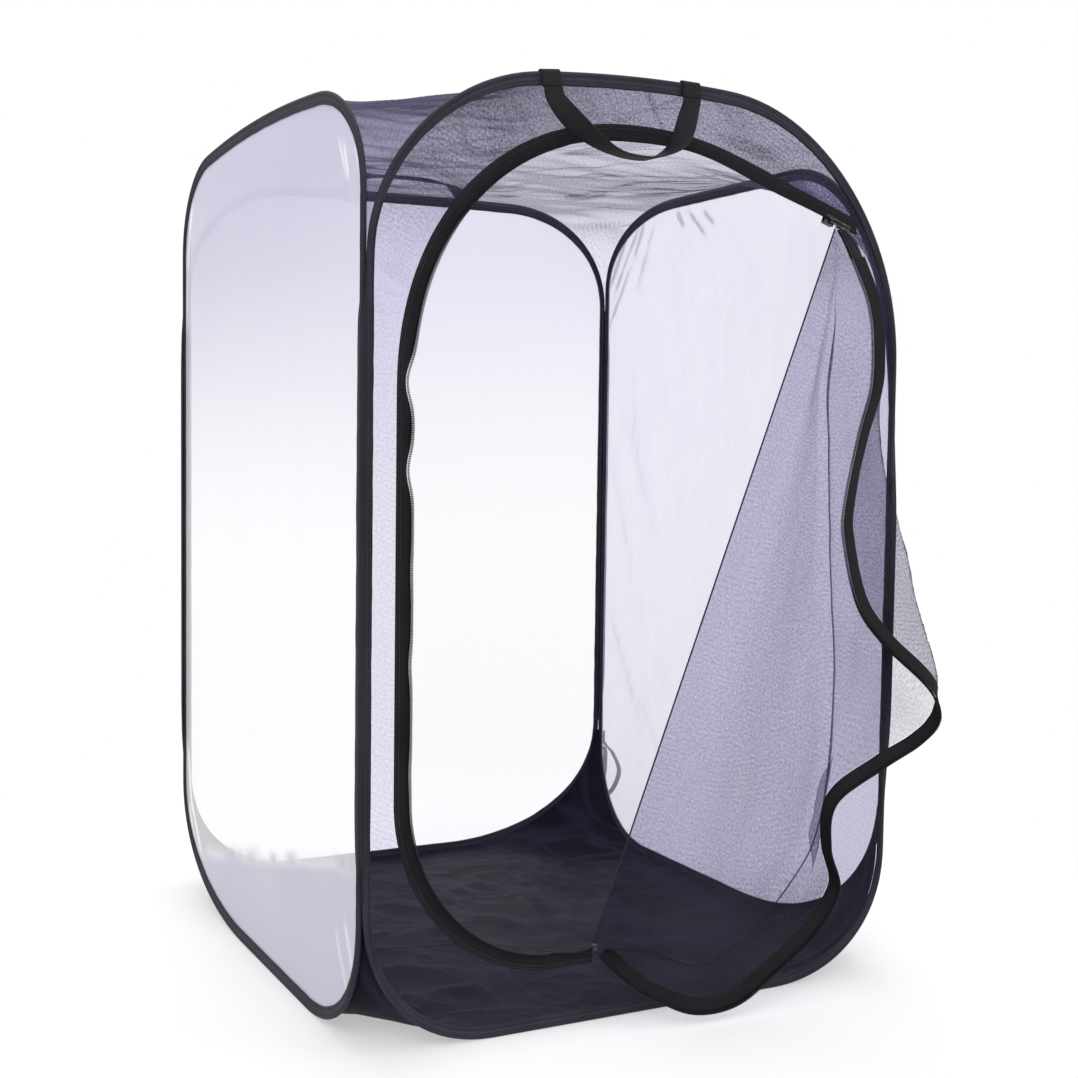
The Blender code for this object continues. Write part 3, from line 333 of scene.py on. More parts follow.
def inward_normals(points):
    """Unit normals that point into a closed curve of (across, up) points listed clockwise."""
    return [Vector((run.y, -run.x)) for run in tangents(points, closed=True)]


def path_normals(points):
    """Unit normals to the left of an open path of (across, up) points."""
    return [Vector((-run.y, run.x)) for run in tangents(points)]


def square_to(way, run):
    """The unit part of a direction that is square to another one."""
    return (way - run * way.dot(run)).normalized()


def offset_path(points, distance):
    """An open path moved to its right by a distance, away from the middle of the door."""
    return [(p[0] - n.x * distance, p[1] - n.y * distance) for p, n in zip(points, path_normals(points))]


def half_thickness(depth, width):
    """Half the binding's thickness at a depth from its outer edge."""
    edge = panel_slit + band_edge_cloth
    share = min(max((depth - bead_radius) / (width - bead_radius), 0.0), 1.0)
    return bead_radius + (edge - bead_radius) * share


def local_band_width(normal):
    """The binding is narrower along the corner seams than along the top and the foot."""
    return seam_band_width * normal.x**2 + band_width * normal.y**2


def panel_outline(side):
    """The panel's cut edge, inside the slit of its binding."""
    path = hoop_outline(side, bead_radius, 4)
    depth = panel_bite - bead_radius
    return [(p[0] + n.x * depth, p[1] + n.y * depth) for p, n in zip(path, inward_normals(path))]


def bezier(start, pull, push, end, steps):
    """Inner points and the end of a cubic curve."""
    knots, points = (start, pull, push, end), []
    for k in range(1, steps + 1):
        t = k / steps
        weights = ((1 - t) ** 3, 3 * t * (1 - t) ** 2, 3 * t * t * (1 - t), t**3)
        points.append(tuple(sum(w * p[i] for w, p in zip(weights, knots)) for i in (0, 1)))
    return points


def zip_path(steps):
    """The zipped edge of the door, from the top of the fold line over the arch, down the low side
    and along the bottom to the fold line's foot, as (across, up) points."""
    run = Vector(door_turn) - Vector(door_top)
    easing = door_ease_share * (door_turn[0] - door_arch[0])
    points = [door_top] + between(door_top, door_turn, 3 * steps) + [door_turn]
    pull = tuple(place + way * easing / run.length for place, way in zip(door_turn, run))
    points += bezier(door_turn, pull, (door_arch[0] + easing, door_arch[1]), door_arch, 4 * steps)
    reach = (door_arch[0] - door_shoulder[0], door_arch[1] - door_shoulder[1])
    centre = (door_arch[0], door_shoulder[1])
    points += corner_arc(centre, reach, 90, 180, door_arch_power, 8 * steps)[1:]
    points += between(points[-1], door_heel, 3 * steps)
    reach = (door_toe_across - door_heel[0], door_heel[1] - door_foot[1])
    centre = (door_toe_across, door_heel[1])
    return points + corner_arc(centre, reach, 180, 270, door_heel_power, 7 * steps) + [door_foot]


def ray_hit(origin, target, loop):
    """Where the ray from origin through target leaves a closed loop of points."""
    way = Vector(target) - Vector(origin)
    best = 0.0
    for k, first in enumerate(loop):
        edge = Vector(loop[(k + 1) % len(loop)]) - Vector(first)
        cross = way.x * edge.y - way.y * edge.x
        if abs(cross) < 1e-12:
            continue
        gap = Vector(first) - Vector(origin)
        if 0 <= (gap.x * way.y - gap.y * way.x) / cross <= 1:
            best = max(best, (gap.x * edge.y - gap.y * edge.x) / cross)
    return tuple(Vector(origin) + way * best)


def arc_lengths(points):
    """The running length along a path of points."""
    lengths = [0.0]
    for first, second in zip(points, points[1:]):
        lengths.append(lengths[-1] + (Vector(second) - Vector(first)).length)
    return lengths


def spans_at(lengths, wants):
    """For each wanted length along a path: the number of its span, and the share of the way over it."""
    j = 0
    for want in wants:
        while j < len(lengths) - 2 and lengths[j + 1] <= want + 1e-12:
            j += 1
        yield j, (want - lengths[j]) / max(lengths[j + 1] - lengths[j], 1e-12)


def resample(points, count):
    """A polyline's points at equal spacing, count + 1 of them."""
    lengths = arc_lengths(points)
    wants = [lengths[-1] * k / count for k in range(count + 1)]
    return [points[j].lerp(points[j + 1], min(share, 1.0)) for j, share in spans_at(lengths, wants)]


def even(points, step, closed=False):
    """A path's points at an even spacing close to the given step."""
    path = [Vector(p) for p in points]
    if closed:
        path.append(path[0])
    made = resample(path, max(int(arc_lengths(path)[-1] / step), 2))
    return made[:-1] if closed else made


def with_ends(knots):
    """The knots with one more beyond either end, mirrored in the end knot."""
    return [knots[0] * 2 - knots[1]] + knots + [knots[-1] * 2 - knots[-2]]


def curve_point(knots, t):
    """The point at a share of the way from the second to the third of four knots, on the smooth
    curve through them."""
    p0, p1, p2, p3 = knots
    bend = (p0 * 2 - p1 * 5 + p2 * 4 - p3) * t * t + (p1 * 3 - p0 - p2 * 3 + p3) * t**3
    return (p1 * 2 + (p2 - p0) * t + bend) / 2


def smooth_curve(knots, count):
    """Evenly numbered points on a smooth curve through the given knots."""
    ends, lengths = with_ends(knots), arc_lengths(knots)
    wants = [lengths[-1] * k / count for k in range(count + 1)]
    return [curve_point(ends[j : j + 4], share) for j, share in spans_at(lengths, wants)]


def guide_point(guide, way):
    """The point of one of the flap's guide lines at a share of the way down it."""
    knots = [side_point("front", *on_front(row[1], row[2]), row[3] * half_pitch) for row in guide]
    places = [row[0] for row in guide]
    j = min(max(sum(p <= way for p in places) - 1, 0), len(places) - 2)
    slopes = []
    for k in (j, j + 1):
        low, high = max(k - 1, 0), min(k + 1, len(places) - 1)
        slopes.append((knots[high] - knots[low]) / (places[high] - places[low]))
    span = places[j + 1] - places[j]
    t = (way - places[j]) / span
    return (
        knots[j] * (2 * t**3 - 3 * t**2 + 1)
        + slopes[0] * (span * (t**3 - 2 * t**2 + t))
        + knots[j + 1] * (3 * t**2 - 2 * t**3)
        + slopes[1] * (span * (t**3 - t**2))
    )


def hoop_top(side, across):
    """The height of a hoop's outer edge at a place across its top."""
    path = hoop_outline(side, 0.0, finer=3)
    for first, second in zip(path, path[1:]):
        if first[0] <= across <= second[0] and first[1] > hoop_height / 2:
            share = (across - first[0]) / max(second[0] - first[0], 1e-9)
            best = first[1] + (second[1] - first[1]) * share
    return best


def smooth_noise(*place):
    return noise.noise(Vector(place))


def new_mesh(name, points, faces, material, uvs, smooth=True):
    """A mesh object, with one uv pair for each point, in metres of cloth."""
    mesh = bpy.data.meshes.new(name)
    mesh.from_pydata([tuple(p) for p in points], [], faces)
    index = np.zeros(len(mesh.loops), np.int32)
    mesh.loops.foreach_get("vertex_index", index)
    layer = mesh.uv_layers.new(name="UVMap")
    layer.data.foreach_set("uv", np.array(uvs, np.float32)[index].ravel())
    mesh.materials.append(material)
    if smooth:
        mesh.shade_smooth()
    made = bpy.data.objects.new(name, mesh)
    bpy.context.scene.collection.objects.link(made)
    return made


def grid_quads(rows, columns, closed_rows=False, closed_columns=False):
    faces = []
    for i in range(rows if closed_rows else rows - 1):
        for j in range(columns if closed_columns else columns - 1):
            a, b = i * columns, ((i + 1) % rows) * columns
            c = (j + 1) % columns
            faces.append((a + j, a + c, b + c, b + j))
    return faces


def sweep(name, rings, lengths, widths, material, closed=False):
    """A mesh through rings of points round a closed section, with uv (length, width); its ends
    are capped unless the path is closed."""
    count = len(rings[0])
    points = [p for ring in rings for p in ring]
    uvs = [(length, width) for length in lengths for width in widths[:count]]
    faces = grid_quads(len(rings), count, closed_rows=closed, closed_columns=True)
    if not closed:
        faces.append(tuple(range(count)))
        faces.append(tuple((len(rings) - 1) * count + k for k in reversed(range(count))))
    made = new_mesh(name, points, faces, material, uvs)
    turned = bmesh.new()
    turned.from_mesh(made.data)
    bmesh.ops.recalc_face_normals(turned, faces=turned.faces)
    turned.to_mesh(made.data)
    turned.free()
    return made


def carry(made, body, node=None):
    """Lets a piece ride on a body and the node that it stands for."""
    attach(made, body)
    if node:
        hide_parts(node)


def feed(socket, value):
    """Links an output to a node's input, or gives the input a value."""
    if isinstance(value, bpy.types.NodeSocket):
        socket.id_data.links.new(value, socket)
    else:
        socket.default_value = value


def add_node(tree, kind, inputs, **settings):
    """A new node with its settings, and with its inputs fed by name or number."""
    made = tree.nodes.new("ShaderNode" + kind)
    for key, value in settings.items():
        setattr(made, key, value)
    for key, value in inputs.items():
        feed(made.inputs[key], value)
    return made


class Shader:
    """A material's node tree, built from the uv map in metres of cloth."""

    def __init__(self, name):
        self.material = bpy.data.materials.new(name)
        self.material.use_nodes = True
        self.tree = self.material.node_tree
        self.main = self.tree.nodes["Principled BSDF"]

    def node(self, kind, inputs=None, **settings):
        return add_node(self.tree, kind, inputs or {}, **settings)

    def set(self, **values):
        """Feeds the main shader's inputs, named with _ for a space."""
        for key, value in values.items():
            feed(self.main.inputs[key.replace("_", " ")], value)

    def calc(self, operation, *values):
        return self.node("Math", dict(enumerate(values)), operation=operation).outputs[0]

    add = partialmethod(calc, "ADD")
    less = partialmethod(calc, "SUBTRACT")
    times = partialmethod(calc, "MULTIPLY")
    times_add = partialmethod(calc, "MULTIPLY_ADD")
    most = partialmethod(calc, "MAXIMUM")
    least = partialmethod(calc, "MINIMUM")

    def uv(self):
        return self.node("UVMap", uv_map="UVMap").outputs[0]

    def place(self):
        return self.node("TexCoord").outputs["Object"]

    def parts(self, vector):
        return self.node("SeparateXYZ", {0: vector}).outputs

    def height(self):
        return self.parts(self.place())[2]

    def wave(self, value, pitch, phase=0.0):
        """A wave from 0 to 1 with the given pitch in metres."""
        turned = self.times_add(value, 2 * math.pi / pitch, phase)
        return self.times_add(self.calc("SINE", turned), 0.5, 0.5)

    def weave(self, pitch):
        """Threads that cross."""
        u, v, _ = self.parts(self.uv())
        return self.times(self.wave(u, pitch), self.wave(v, pitch))

    def noise(self, vector, scale, detail=3.0, stretch=None):
        if stretch is not None:
            vector = self.node("Mapping", {"Scale": stretch, "Vector": vector}).outputs[0]
        inputs = {"Scale": scale, "Detail": detail, "Vector": vector}
        return self.node("TexNoise", inputs).outputs[0]

    def creases(self, scale, stretch, width, turn):
        """Narrow lines, such as folds in cloth, where a stretched noise crosses its middle."""
        turned = self.node("Mapping", {"Rotation": (0.0, 0.0, math.radians(turn)), "Vector": self.uv()})
        wander = self.noise(turned.outputs[0], scale, 2.0, stretch)
        return self.ramp(self.calc("ABSOLUTE", self.less(wander, 0.5)), 0.0, width, 1.0, 0.0)

    def lined(self):
        """How much of a drawn-in line lies at a place, from 0 to 1; on the left film the lines are
        painted glints, elsewhere folds.
        """
        return self.node("Attribute", attribute_name="fold").outputs["Fac"]

    def ramp(self, value, low, high, first, second):
        inputs = {"From Min": low, "From Max": high, "To Min": first, "To Max": second, "Value": value}
        return self.node("MapRange", inputs, interpolation_type="SMOOTHSTEP").outputs[0]

    def colours(self, value, *stops):
        """A colour from stops of (place, colour)."""
        made = self.node("ValToRGB", {0: value})
        elements = made.color_ramp.elements
        while len(elements) < len(stops):
            elements.new(0.5)
        for element, (place, colour) in zip(elements, stops):
            element.position = place
            element.color = (*colour, 1.0)
        return made.outputs[0]

    def mix(self, share, first, colour):
        inputs = {"Factor": share, "A": first, "B": (*colour, 1.0)}
        return self.node("Mix", inputs, data_type="RGBA").outputs["Result"]

    def facing(self):
        """The cosine between the surface and the line of sight."""
        return self.less(1.0, self.node("LayerWeight", {"Blend": 0.5}).outputs["Facing"])

    def surface(self, share, first, second):
        """Mixes two shaders as the material's surface."""
        mixed = self.node("MixShader", {"Fac": share, 1: first.outputs[0], 2: second.outputs[0]})
        feed(self.tree.nodes["Material Output"].inputs["Surface"], mixed.outputs[0])

    def veil(self, cover, tint):
        """Lets what is behind show between the threads."""
        self.surface(cover, self.node("BsdfTransparent", {"Color": (*tint, 1.0)}), self.main)

    def bump(self, height, distance, strength=1.0):
        inputs = {"Distance": distance, "Strength": strength, "Height": height}
        self.set(Normal=self.node("Bump", inputs).outputs[0])


def woven(name, dark, light, pitch, roughness, bump=0.00015, shine=0.15, rib_only=False):
    """A plain weave, or ribs along the length."""
    s = Shader(name)
    u, v, _ = s.parts(s.uv())
    height = s.wave(v, pitch)
    if not rib_only:
        height = s.times(height, s.times_add(s.wave(u, pitch), 0.6, 0.4))
    mixed = s.times_add(height, 0.55, s.times(s.noise(s.place(), 22.0), 0.5))
    s.set(Base_Color=s.colours(mixed, (0.15, dark), (0.85, light)))
    s.set(Roughness=roughness, Specular_IOR_Level=shine)
    s.bump(height, bump)
    return s.material


def speckled(name, scale, detail, stops, **values):
    """A hard surface with speckles in its colour; a roughness in four numbers follows them too."""
    s = Shader(name)
    speckle = s.noise(s.place(), scale, detail)
    if "Roughness_ramp" in values:
        s.set(Roughness=s.ramp(speckle, *values.pop("Roughness_ramp")))
    s.set(Base_Color=s.colours(speckle, *stops), **values)
    return s.material


def net(name, dark, light, cover, tint, doubled=None, folds=None, gathered=False):
    """A fine knitted net: threads round open meshes, denser at a glancing view, with the grain that
    its meshes make against each other. Doubled gives the height from which and to which a second
    layer comes in, and the cover there; folds give a strength and the first creases."""
    s = Shader(name)
    pitch, second_phase, moire_pitch = 0.0011, 1.1, 0.0052
    u, v, _ = s.parts(s.uv())
    threads = s.most(s.wave(s.add(u, v), pitch), s.wave(s.less(u, v), pitch, second_phase))
    drift = s.times(s.noise(s.uv(), 5.0, 1.0), 0.012)
    waves = s.wave(s.add(s.times_add(u, 0.45, v), drift), moire_pitch)
    patch = s.ramp(s.noise(s.uv(), 16.0, 2.0), 0.35, 0.65, 0.0, 1.0)
    grain = s.ramp(s.noise(s.uv(), 420.0, 3.0), 0.3, 0.7, -0.20, 0.20)
    texture = s.add(grain, s.times_add(threads, 0.12, -0.07))
    texture = s.add(texture, s.times(patch, s.times_add(waves, 0.14, -0.07)))
    open_share = 1 - cover
    if doubled is not None:
        low, high, second_cover = doubled
        open_share = s.times_add(
            s.ramp(s.height(), low, high, 0.0, 1.0), cover - second_cover, 1 - cover
        )
    glance = s.calc("DIVIDE", 1.0, s.most(s.facing(), 0.16))
    solid = s.less(1.0, s.calc("POWER", open_share, glance))
    share = s.times_add(texture, s.times_add(solid, 1.2, 0.25), solid)
    if folds is not None:
        amount, scale, stretch, width, turn = folds
        finer = s.creases(scale * 1.7, stretch, width * 1.3, turn + 35)
        lines = s.most(s.creases(scale, stretch, width, turn), finer)
        some = s.ramp(s.noise(s.uv(), 7.0, 2.0), 0.38, 0.62, 0.1, 1.0)
        lines = s.times(lines, s.times(some, s.ramp(s.height(), 0.6, 0.75, 0.0, 1.0)))
        share = s.times_add(s.times(lines, s.times_add(s.facing(), -0.85, 1.0)), amount, share)
    if gathered:  # most in the front left gore
        x, y, _ = s.parts(s.place())
        corner = s.add(s.times(x, -1.0), s.times(y, -0.8))
        share = s.times_add(s.ramp(corner, 0.20, 0.46, 0.0, 1.0), 0.35, share)
    share = s.times_add(s.lined(), 0.6, share)
    s.veil(s.least(s.most(share, 0.02), 0.97), tint)
    s.set(Base_Color=s.colours(s.noise(s.place(), 9.0), (0.3, dark), (0.7, light)))
    s.set(Roughness=0.8, Specular_IOR_Level=0.1)
    s.bump(threads, 0.0001)
    return s.material


def film(name, tint, base, top, low):
    """Clear flexible film, milky and greyer towards its top; towards its foot it is painted greyer as a
    painted reflection, with a dark band painted along the top of that grey as a painted reflection of
    the dark floor, and near-white painted glints along its drawn lines.
    """
    s = Shader(name)
    pale = (0.985, 0.98, 1.0)
    upper = s.ramp(s.height(), 0.40, 0.86, 0.0, top)
    slope = s.times_add(s.parts(s.place())[1], 0.235, s.less(s.height(), 0.1154))
    level = s.times_add(s.less(s.noise(s.place(), 7.0, 3.0), 0.5), 0.03, slope)
    foot = s.ramp(level, -0.018, 0.010, low, 0.0)
    haze_and_reflection_cover = s.add(s.times_add(s.less(1.0, s.facing()), 0.25, base), s.add(upper, foot))
    clear = s.colours(upper, (0.0, pale), (max(top, 0.01), tint))
    # Painted reflections: the foot is painted greyer and more opaque, and a dark band along the upper
    # edge of that grey stands for the dark floor's reflection
    if low:
        clear = s.mix(s.calc("DIVIDE", foot, low), clear, (0.50, 0.49, 0.60))
        painted_floor_reflection = s.times(
            s.ramp(s.calc("ABSOLUTE", level), 0.0, 0.014, 1.0, 0.0),
            s.ramp(s.noise(s.place(), 16.0, 3.0), 0.42, 0.75, 0.0, 0.6),
        )
        # The near-white lines are painted glints, painted reflections along the film's edges
        for share, colour in ((painted_floor_reflection, (0.12, 0.11, 0.14)), (s.lined(), (0.97, 0.97, 1.0))):
            clear = s.mix(share, clear, colour)
            haze_and_reflection_cover = s.times_add(share, 0.5, haze_and_reflection_cover)
    s.veil(s.least(haze_and_reflection_cover, 0.95), pale)
    s.set(Base_Color=clear, Roughness=0.2, Specular_IOR_Level=0.45)
    s.bump(s.noise(s.place(), 6.0, 2.0), 0.002, 0.4)
    return s.material


def sheer_cloth():
    s = Shader("sheer cloth")
    streak = s.noise(s.uv(), 4.0, 3.0, stretch=(5.0, 1.0, 1.0))
    stretch, width = (3.0, 1.0, 1.0), 0.05
    lines = s.most(s.creases(3.0, stretch, width, 20), s.creases(4.5, stretch, width, -25))
    streak = s.times_add(lines, 0.12, s.times_add(streak, 0.6, 0.12))
    # Painted shade: the colour darkens along the drawn-in folds, which also cover more as doubled cloth
    shade = s.less(streak, s.times(s.lined(), 0.7))
    stops = ((0.0, (0.36, 0.35, 0.46)), (0.3, (0.80, 0.79, 0.96)), (0.7, (0.92, 0.91, 1.0)))
    s.set(Base_Color=s.colours(shade, *stops), Roughness=0.55, Specular_IOR_Level=0.2)
    cover = s.ramp(s.weave(0.0006), 0.0, 1.0, 0.35, 0.70)
    s.veil(s.times_add(s.lined(), 0.3, cover), (0.96, 0.95, 1.0))
    s.bump(streak, 0.004, 0.8)
    return s.material


def floor_nylon():
    s = Shader("floor nylon")
    lines = s.most(s.creases(2.6, (1.0, 4.0, 1.0), 0.03, 15), s.creases(4.0, (1.0, 3.0, 1.0), 0.03, 60))
    # Painted highlights: the crease lines lighten the nylon's colour, besides their bumps
    mixed = s.times_add(lines, 0.25, s.times(s.weave(0.0007), 0.10))
    mixed = s.times_add(s.noise(s.uv(), 11.0, 5.0), 0.7, mixed)
    stops = ((0.3, (0.006, 0.005, 0.013)), (0.75, (0.022, 0.020, 0.042)))
    s.set(Base_Color=s.colours(mixed, *stops), Roughness=0.55, Specular_IOR_Level=0.07)
    s.bump(mixed, 0.006, 0.8)
    return s.material


black, grey = (0.010, 0.009, 0.014), (0.030, 0.028, 0.042)
coil_black, coil_grey = (0.004, 0.004, 0.005), (0.012, 0.012, 0.014)
lacquer, worn = (0.020, 0.020, 0.024), (0.16, 0.16, 0.17)
steel, bright_steel = (0.45, 0.46, 0.48), (0.62, 0.63, 0.65)
front_folds = (0.55, 2.4, (1.0, 5.5, 1.0), 0.03, 18)
roof_folds = (0.40, 1.9, (1.0, 5.0, 1.0), 0.026, 20)
materials = {
    "binding": woven("binding tape", (0.012, 0.011, 0.018), (0.046, 0.043, 0.062), 0.0008, 0.6),
    "seam": woven("seam tape", (0.008, 0.008, 0.012), (0.032, 0.030, 0.042), 0.0008, 0.6),
    "front_net": net(
        "front net", black, grey, 0.12, (0.90, 0.89, 1.0), (0.70, 0.84, 0.46), front_folds
    ),
    "flap_net": net("flap net", black, grey, 0.22, (0.94, 0.93, 1.0), (0.16, 0.05, 0.50)),
    "roof_net": net(
        "roof net",
        (0.03, 0.03, 0.06),
        (0.08, 0.08, 0.14),
        0.13,
        (0.88, 0.86, 1.0),
        folds=roof_folds,
        gathered=True,
    ),
    "left_film": film("left film", (0.52, 0.50, 0.66), 0.40, 0.38, 0.55),
    "back_film": film("back film", (0.66, 0.65, 0.92), 0.04, 0.36, 0.0),
    "sheer": sheer_cloth(),
    "nylon": floor_nylon(),
    "zip_tape": woven("zip tape", coil_black, (0.018, 0.018, 0.022), 0.0009, 0.7, shine=0.1),
    "coil": speckled(
        "zip coil",
        300.0,
        3.0,
        ((0.3, coil_black), (0.7, coil_grey)),
        Roughness=0.6,
        Specular_IOR_Level=0.15,
    ),
    "webbing": woven("webbing", (0.003, 0.003, 0.004), (0.020, 0.020, 0.024), 0.0014, 0.65, 0.0003),
    "elastic": woven(
        "elastic", coil_black, (0.022, 0.022, 0.026), 0.0011, 0.7, 0.0003, rib_only=True
    ),
    "thread": woven("thread", (0.02, 0.02, 0.026), (0.07, 0.07, 0.085), 0.0004, 0.7, 0.0001),
    "slider": speckled(
        "slider lacquer",
        420.0,
        5.0,
        ((0.45, lacquer), (0.8, worn)),
        Roughness_ramp=(0.3, 0.8, 0.28, 0.5),
        Metallic=0.7,
    ),
    "steel": speckled(
        "spring steel",
        900.0,
        4.0,
        ((0.3, steel), (0.7, bright_steel)),
        Roughness_ramp=(0.3, 0.7, 0.25, 0.4),
        Metallic=1.0,
    ),
}


def make_binding(side):
    """The folded tape over a hoop's wire, with its puckered inner edge and a row of stitches."""
    path = even(hoop_outline(side, bead_radius, 4), 0.006, closed=True)
    normals = inward_normals(path)
    lengths = arc_lengths(path)
    waist = panel_slit + band_edge_cloth * 0.75
    lip = panel_slit + band_edge_cloth
    angles = [math.radians(90 + 180 * turn / 8) for turn in range(9)]
    bead = [(bead_radius * (1 + math.cos(a)), bead_radius * math.sin(a)) for a in angles]
    rings, widths = [], None
    for point, normal, length in zip(path, normals, lengths):
        width = local_band_width(normal)
        pucker = 0.00035 * smooth_noise(length * 90, 3.1, 0.2)
        edge = width + 0.0004 * smooth_noise(length * 60, 7.7, 0.4)
        low = [
            (bead_radius * 1.5, -bead_radius * 0.80),
            (bead_radius * 2.0, -waist - 0.0002),
            (width * 0.76, -lip - pucker * 0.5),
            (edge - 0.0003, -lip - pucker),
            (edge, -panel_slit - band_edge_cloth * 0.4 - pucker),
            (edge - 0.0004, -panel_slit * 0.9),
        ]
        section = bead + low + [(depth, -out) for depth, out in reversed(low)]
        ring = []
        for depth, out in section:
            inner = depth - bead_radius
            ring.append(side_point(side, point.x + normal.x * inner, point.y + normal.y * inner, out))
        rings.append(ring)
        widths = widths or arc_lengths(section)
    made = sweep(side + "_binding", rings, lengths, widths, materials["binding"], closed=True)
    carry(made, side + "_side", side + "_hoop_binding")
    make_stitches(side, path, normals)


def thread_faces(base):
    """The four faces of a stitch, a patch of three by three points."""
    return [(a, a + 1, a + 4, a + 3) for a in (base, base + 1, base + 3, base + 4)]


def make_stitches(side, path, normals):
    """The lockstitch row near the binding's inner edge, on both faces."""
    row_inset, pitch, gap, half_thread = 0.0022, 0.0034, 0.0004, 0.00022
    dense = []
    for point, normal in zip(path, normals):
        dense.append(point + normal * (local_band_width(normal) - row_inset - bead_radius))
    dense.append(dense[0])
    run = resample(dense, int(arc_lengths(dense)[-1] / pitch))
    face = panel_slit + band_edge_cloth
    points, faces, uvs = [], [], []
    for out_sign in (1, -1):
        for first, second in zip(run, run[1:]):
            along = (second - first).normalized()
            start, end = first + along * gap, second - along * gap
            normal = Vector((-along.y, along.x))
            faces += thread_faces(len(points))
            for point, rise in ((start, 0.0), (start.lerp(end, 0.5), 0.00045), (end, 0.0)):
                for shift, level in ((-half_thread, 0.0), (0.0, 0.0003), (half_thread, 0.0)):
                    place = point + normal * shift
                    out = out_sign * (face + level + rise - thread_seat)
                    points.append(side_point(side, place.x, place.y, out))
                    uvs.append((place.x, place.y))
    made = new_mesh(side + "_stitches", points, faces, materials["thread"], uvs)
    carry(made, side + "_side")


def coons(bottom, top, left, right):
    """A grid of points between four boundary curves of equal counts."""
    n, m = len(bottom) - 1, len(left) - 1
    rows = []
    for i in range(m + 1):
        t = i / m
        row = []
        for j in range(n + 1):
            s = j / n
            ruled = bottom[j] * (1 - t) + top[j] * t + left[i] * (1 - s) + right[i] * s
            low = bottom[0] * ((1 - s) * (1 - t)) + bottom[n] * (s * (1 - t))
            row.append(ruled - (low + top[0] * ((1 - s) * t) + top[n] * (s * t)))
        rows.append(row)
    return rows


def split_outline(side, columns, rows):
    """A panel's outline as four curves that meet at the middles of its rounded corners."""
    path = [Vector(p) for p in panel_outline(side)]

    def run(first, second, count):
        k, made = first, [path[first]]
        while k != second:
            k = (k - 1) % len(path)
            made.append(path[k])
        return resample(made, count)

    low_low, high_low, high_high, low_high = (
        max(range(len(path)), key=lambda k: across * path[k].x + up * path[k].y * 0.9)
        for across, up in ((-1, -1), (1, -1), (1, 1), (-1, 1))
    )
    bottom, right = run(low_low, high_low, columns), run(high_low, high_high, rows)
    top, left = run(high_high, low_high, columns), run(low_high, low_low, rows)
    return bottom, top[::-1], left[::-1], right


def make_panel(name, side, material, form, node, columns, rows):
    """A whole panel as a fine grid, moved out of its plane by the given form."""
    points, uvs = [], []
    for i, row in enumerate(coons(*split_outline(side, columns, rows))):
        for j, place in enumerate(row):
            rim = min(i, rows - i, j, columns - j) / (0.10 * rows)
            out = form(place.x, place.y) * min(rim, 1.0) ** 1.5
            points.append(side_point(side, place.x, place.y, out))
            uvs.append((place.x, place.y))
    made = new_mesh(name, points, grid_quads(rows + 1, columns + 1), materials[material], uvs)
    mark_drawn_lines(made, uvs, drawn_folds_and_glints.get(name, ()))
    carry(made, side + "_side", node)


def drawn_line_share(place, folds):
    """How much of the nearest drawn-in line lies at a place; a line fades out towards its ends. On the
    left film the lines are painted glints, elsewhere folds.
    """
    best = 0.0
    for start, end, width, strength in folds:
        run = Vector((end[0] - start[0], end[1] - start[1]))
        away = Vector((place[0] - start[0], place[1] - start[1]))
        share = away.dot(run) / run.length_squared
        if -0.1 < share < 1.1:
            distance = abs(away.x * run.y - away.y * run.x) / run.length
            fade = min(max(min(share + 0.1, 1.1 - share) / 0.3, 0.0), 1.0)
            best = max(best, strength * fade * math.exp(-((distance / width) ** 2)))
    return best


def mark_drawn_lines(obj, places, folds):
    """Stores the drawn-in lines with the mesh, for its material; on the left film they are painted
    glints, elsewhere folds.
    """
    # The fold attribute also carries the left film's painted glints
    layer = obj.data.attributes.new("fold", "FLOAT", "POINT")
    layer.data.foreach_set("value", [drawn_line_share(place, folds) for place in places])


def sheer_form(x, y):
    fold = 0.0022 * smooth_noise(x * 40, y * 5, 1.3) + 0.0010 * smooth_noise(x * 90, y * 9, 4.1)
    ease = 0.005 * smooth_noise(x * 4, y * 4, 9.0) + 0.0016 * smooth_noise(x * 14 + y * 8, y * 11, 2.0)
    return fold + ease - 0.005 * drawn_line_share((x, y), drawn_folds_and_glints["right_sheer"])


def film_form(x, y):
    return 0.005 * smooth_noise(x * 5, y * 3, 2.2) + 0.0016 * smooth_noise(x * 12, y * 6, 5.5)


def back_form(x, y):
    return 0.003 * smooth_noise(x * 4, y * 3, 12.2)


def make_front_panel():
    """The net panel round the door, as rings between the zip's edge and the hoop."""
    zipped = offset_path(zip_path(3), zip_tape_width - zip_tape_lap)
    cut = even(zipped + between(door_foot, door_top, 60), 0.009, closed=True)
    inner = [(p.x, p.y) for p in cut]
    outline = panel_outline("front")
    middle = ((door_shoulder[0] + door_arch[0]) / 2, hoop_height / 2)
    outer = [ray_hit(middle, p, outline) for p in inner]
    steps = 14
    points, uvs = [], []
    for ring in range(steps + 1):
        share = ring / steps
        fade = min(share, 1 - share) * 2
        for (a0, u0), (a1, u1) in zip(outer, inner):
            a, u = a0 + (a1 - a0) * share, u0 + (u1 - u0) * share
            out = 0.003 * smooth_noise(a * 9, u * 9, 0.5) + 0.001 * smooth_noise(a * 40, u * 40, 3.0)
            points.append(side_point("front", a, u, fade * out))
            uvs.append((a, u))
    faces = grid_quads(steps + 1, len(inner), closed_columns=True)
    made = new_mesh("front_net", points, faces, materials["front_net"], uvs)
    mark_drawn_lines(made, uvs, ())
    carry(made, "front_side", "front_panel")


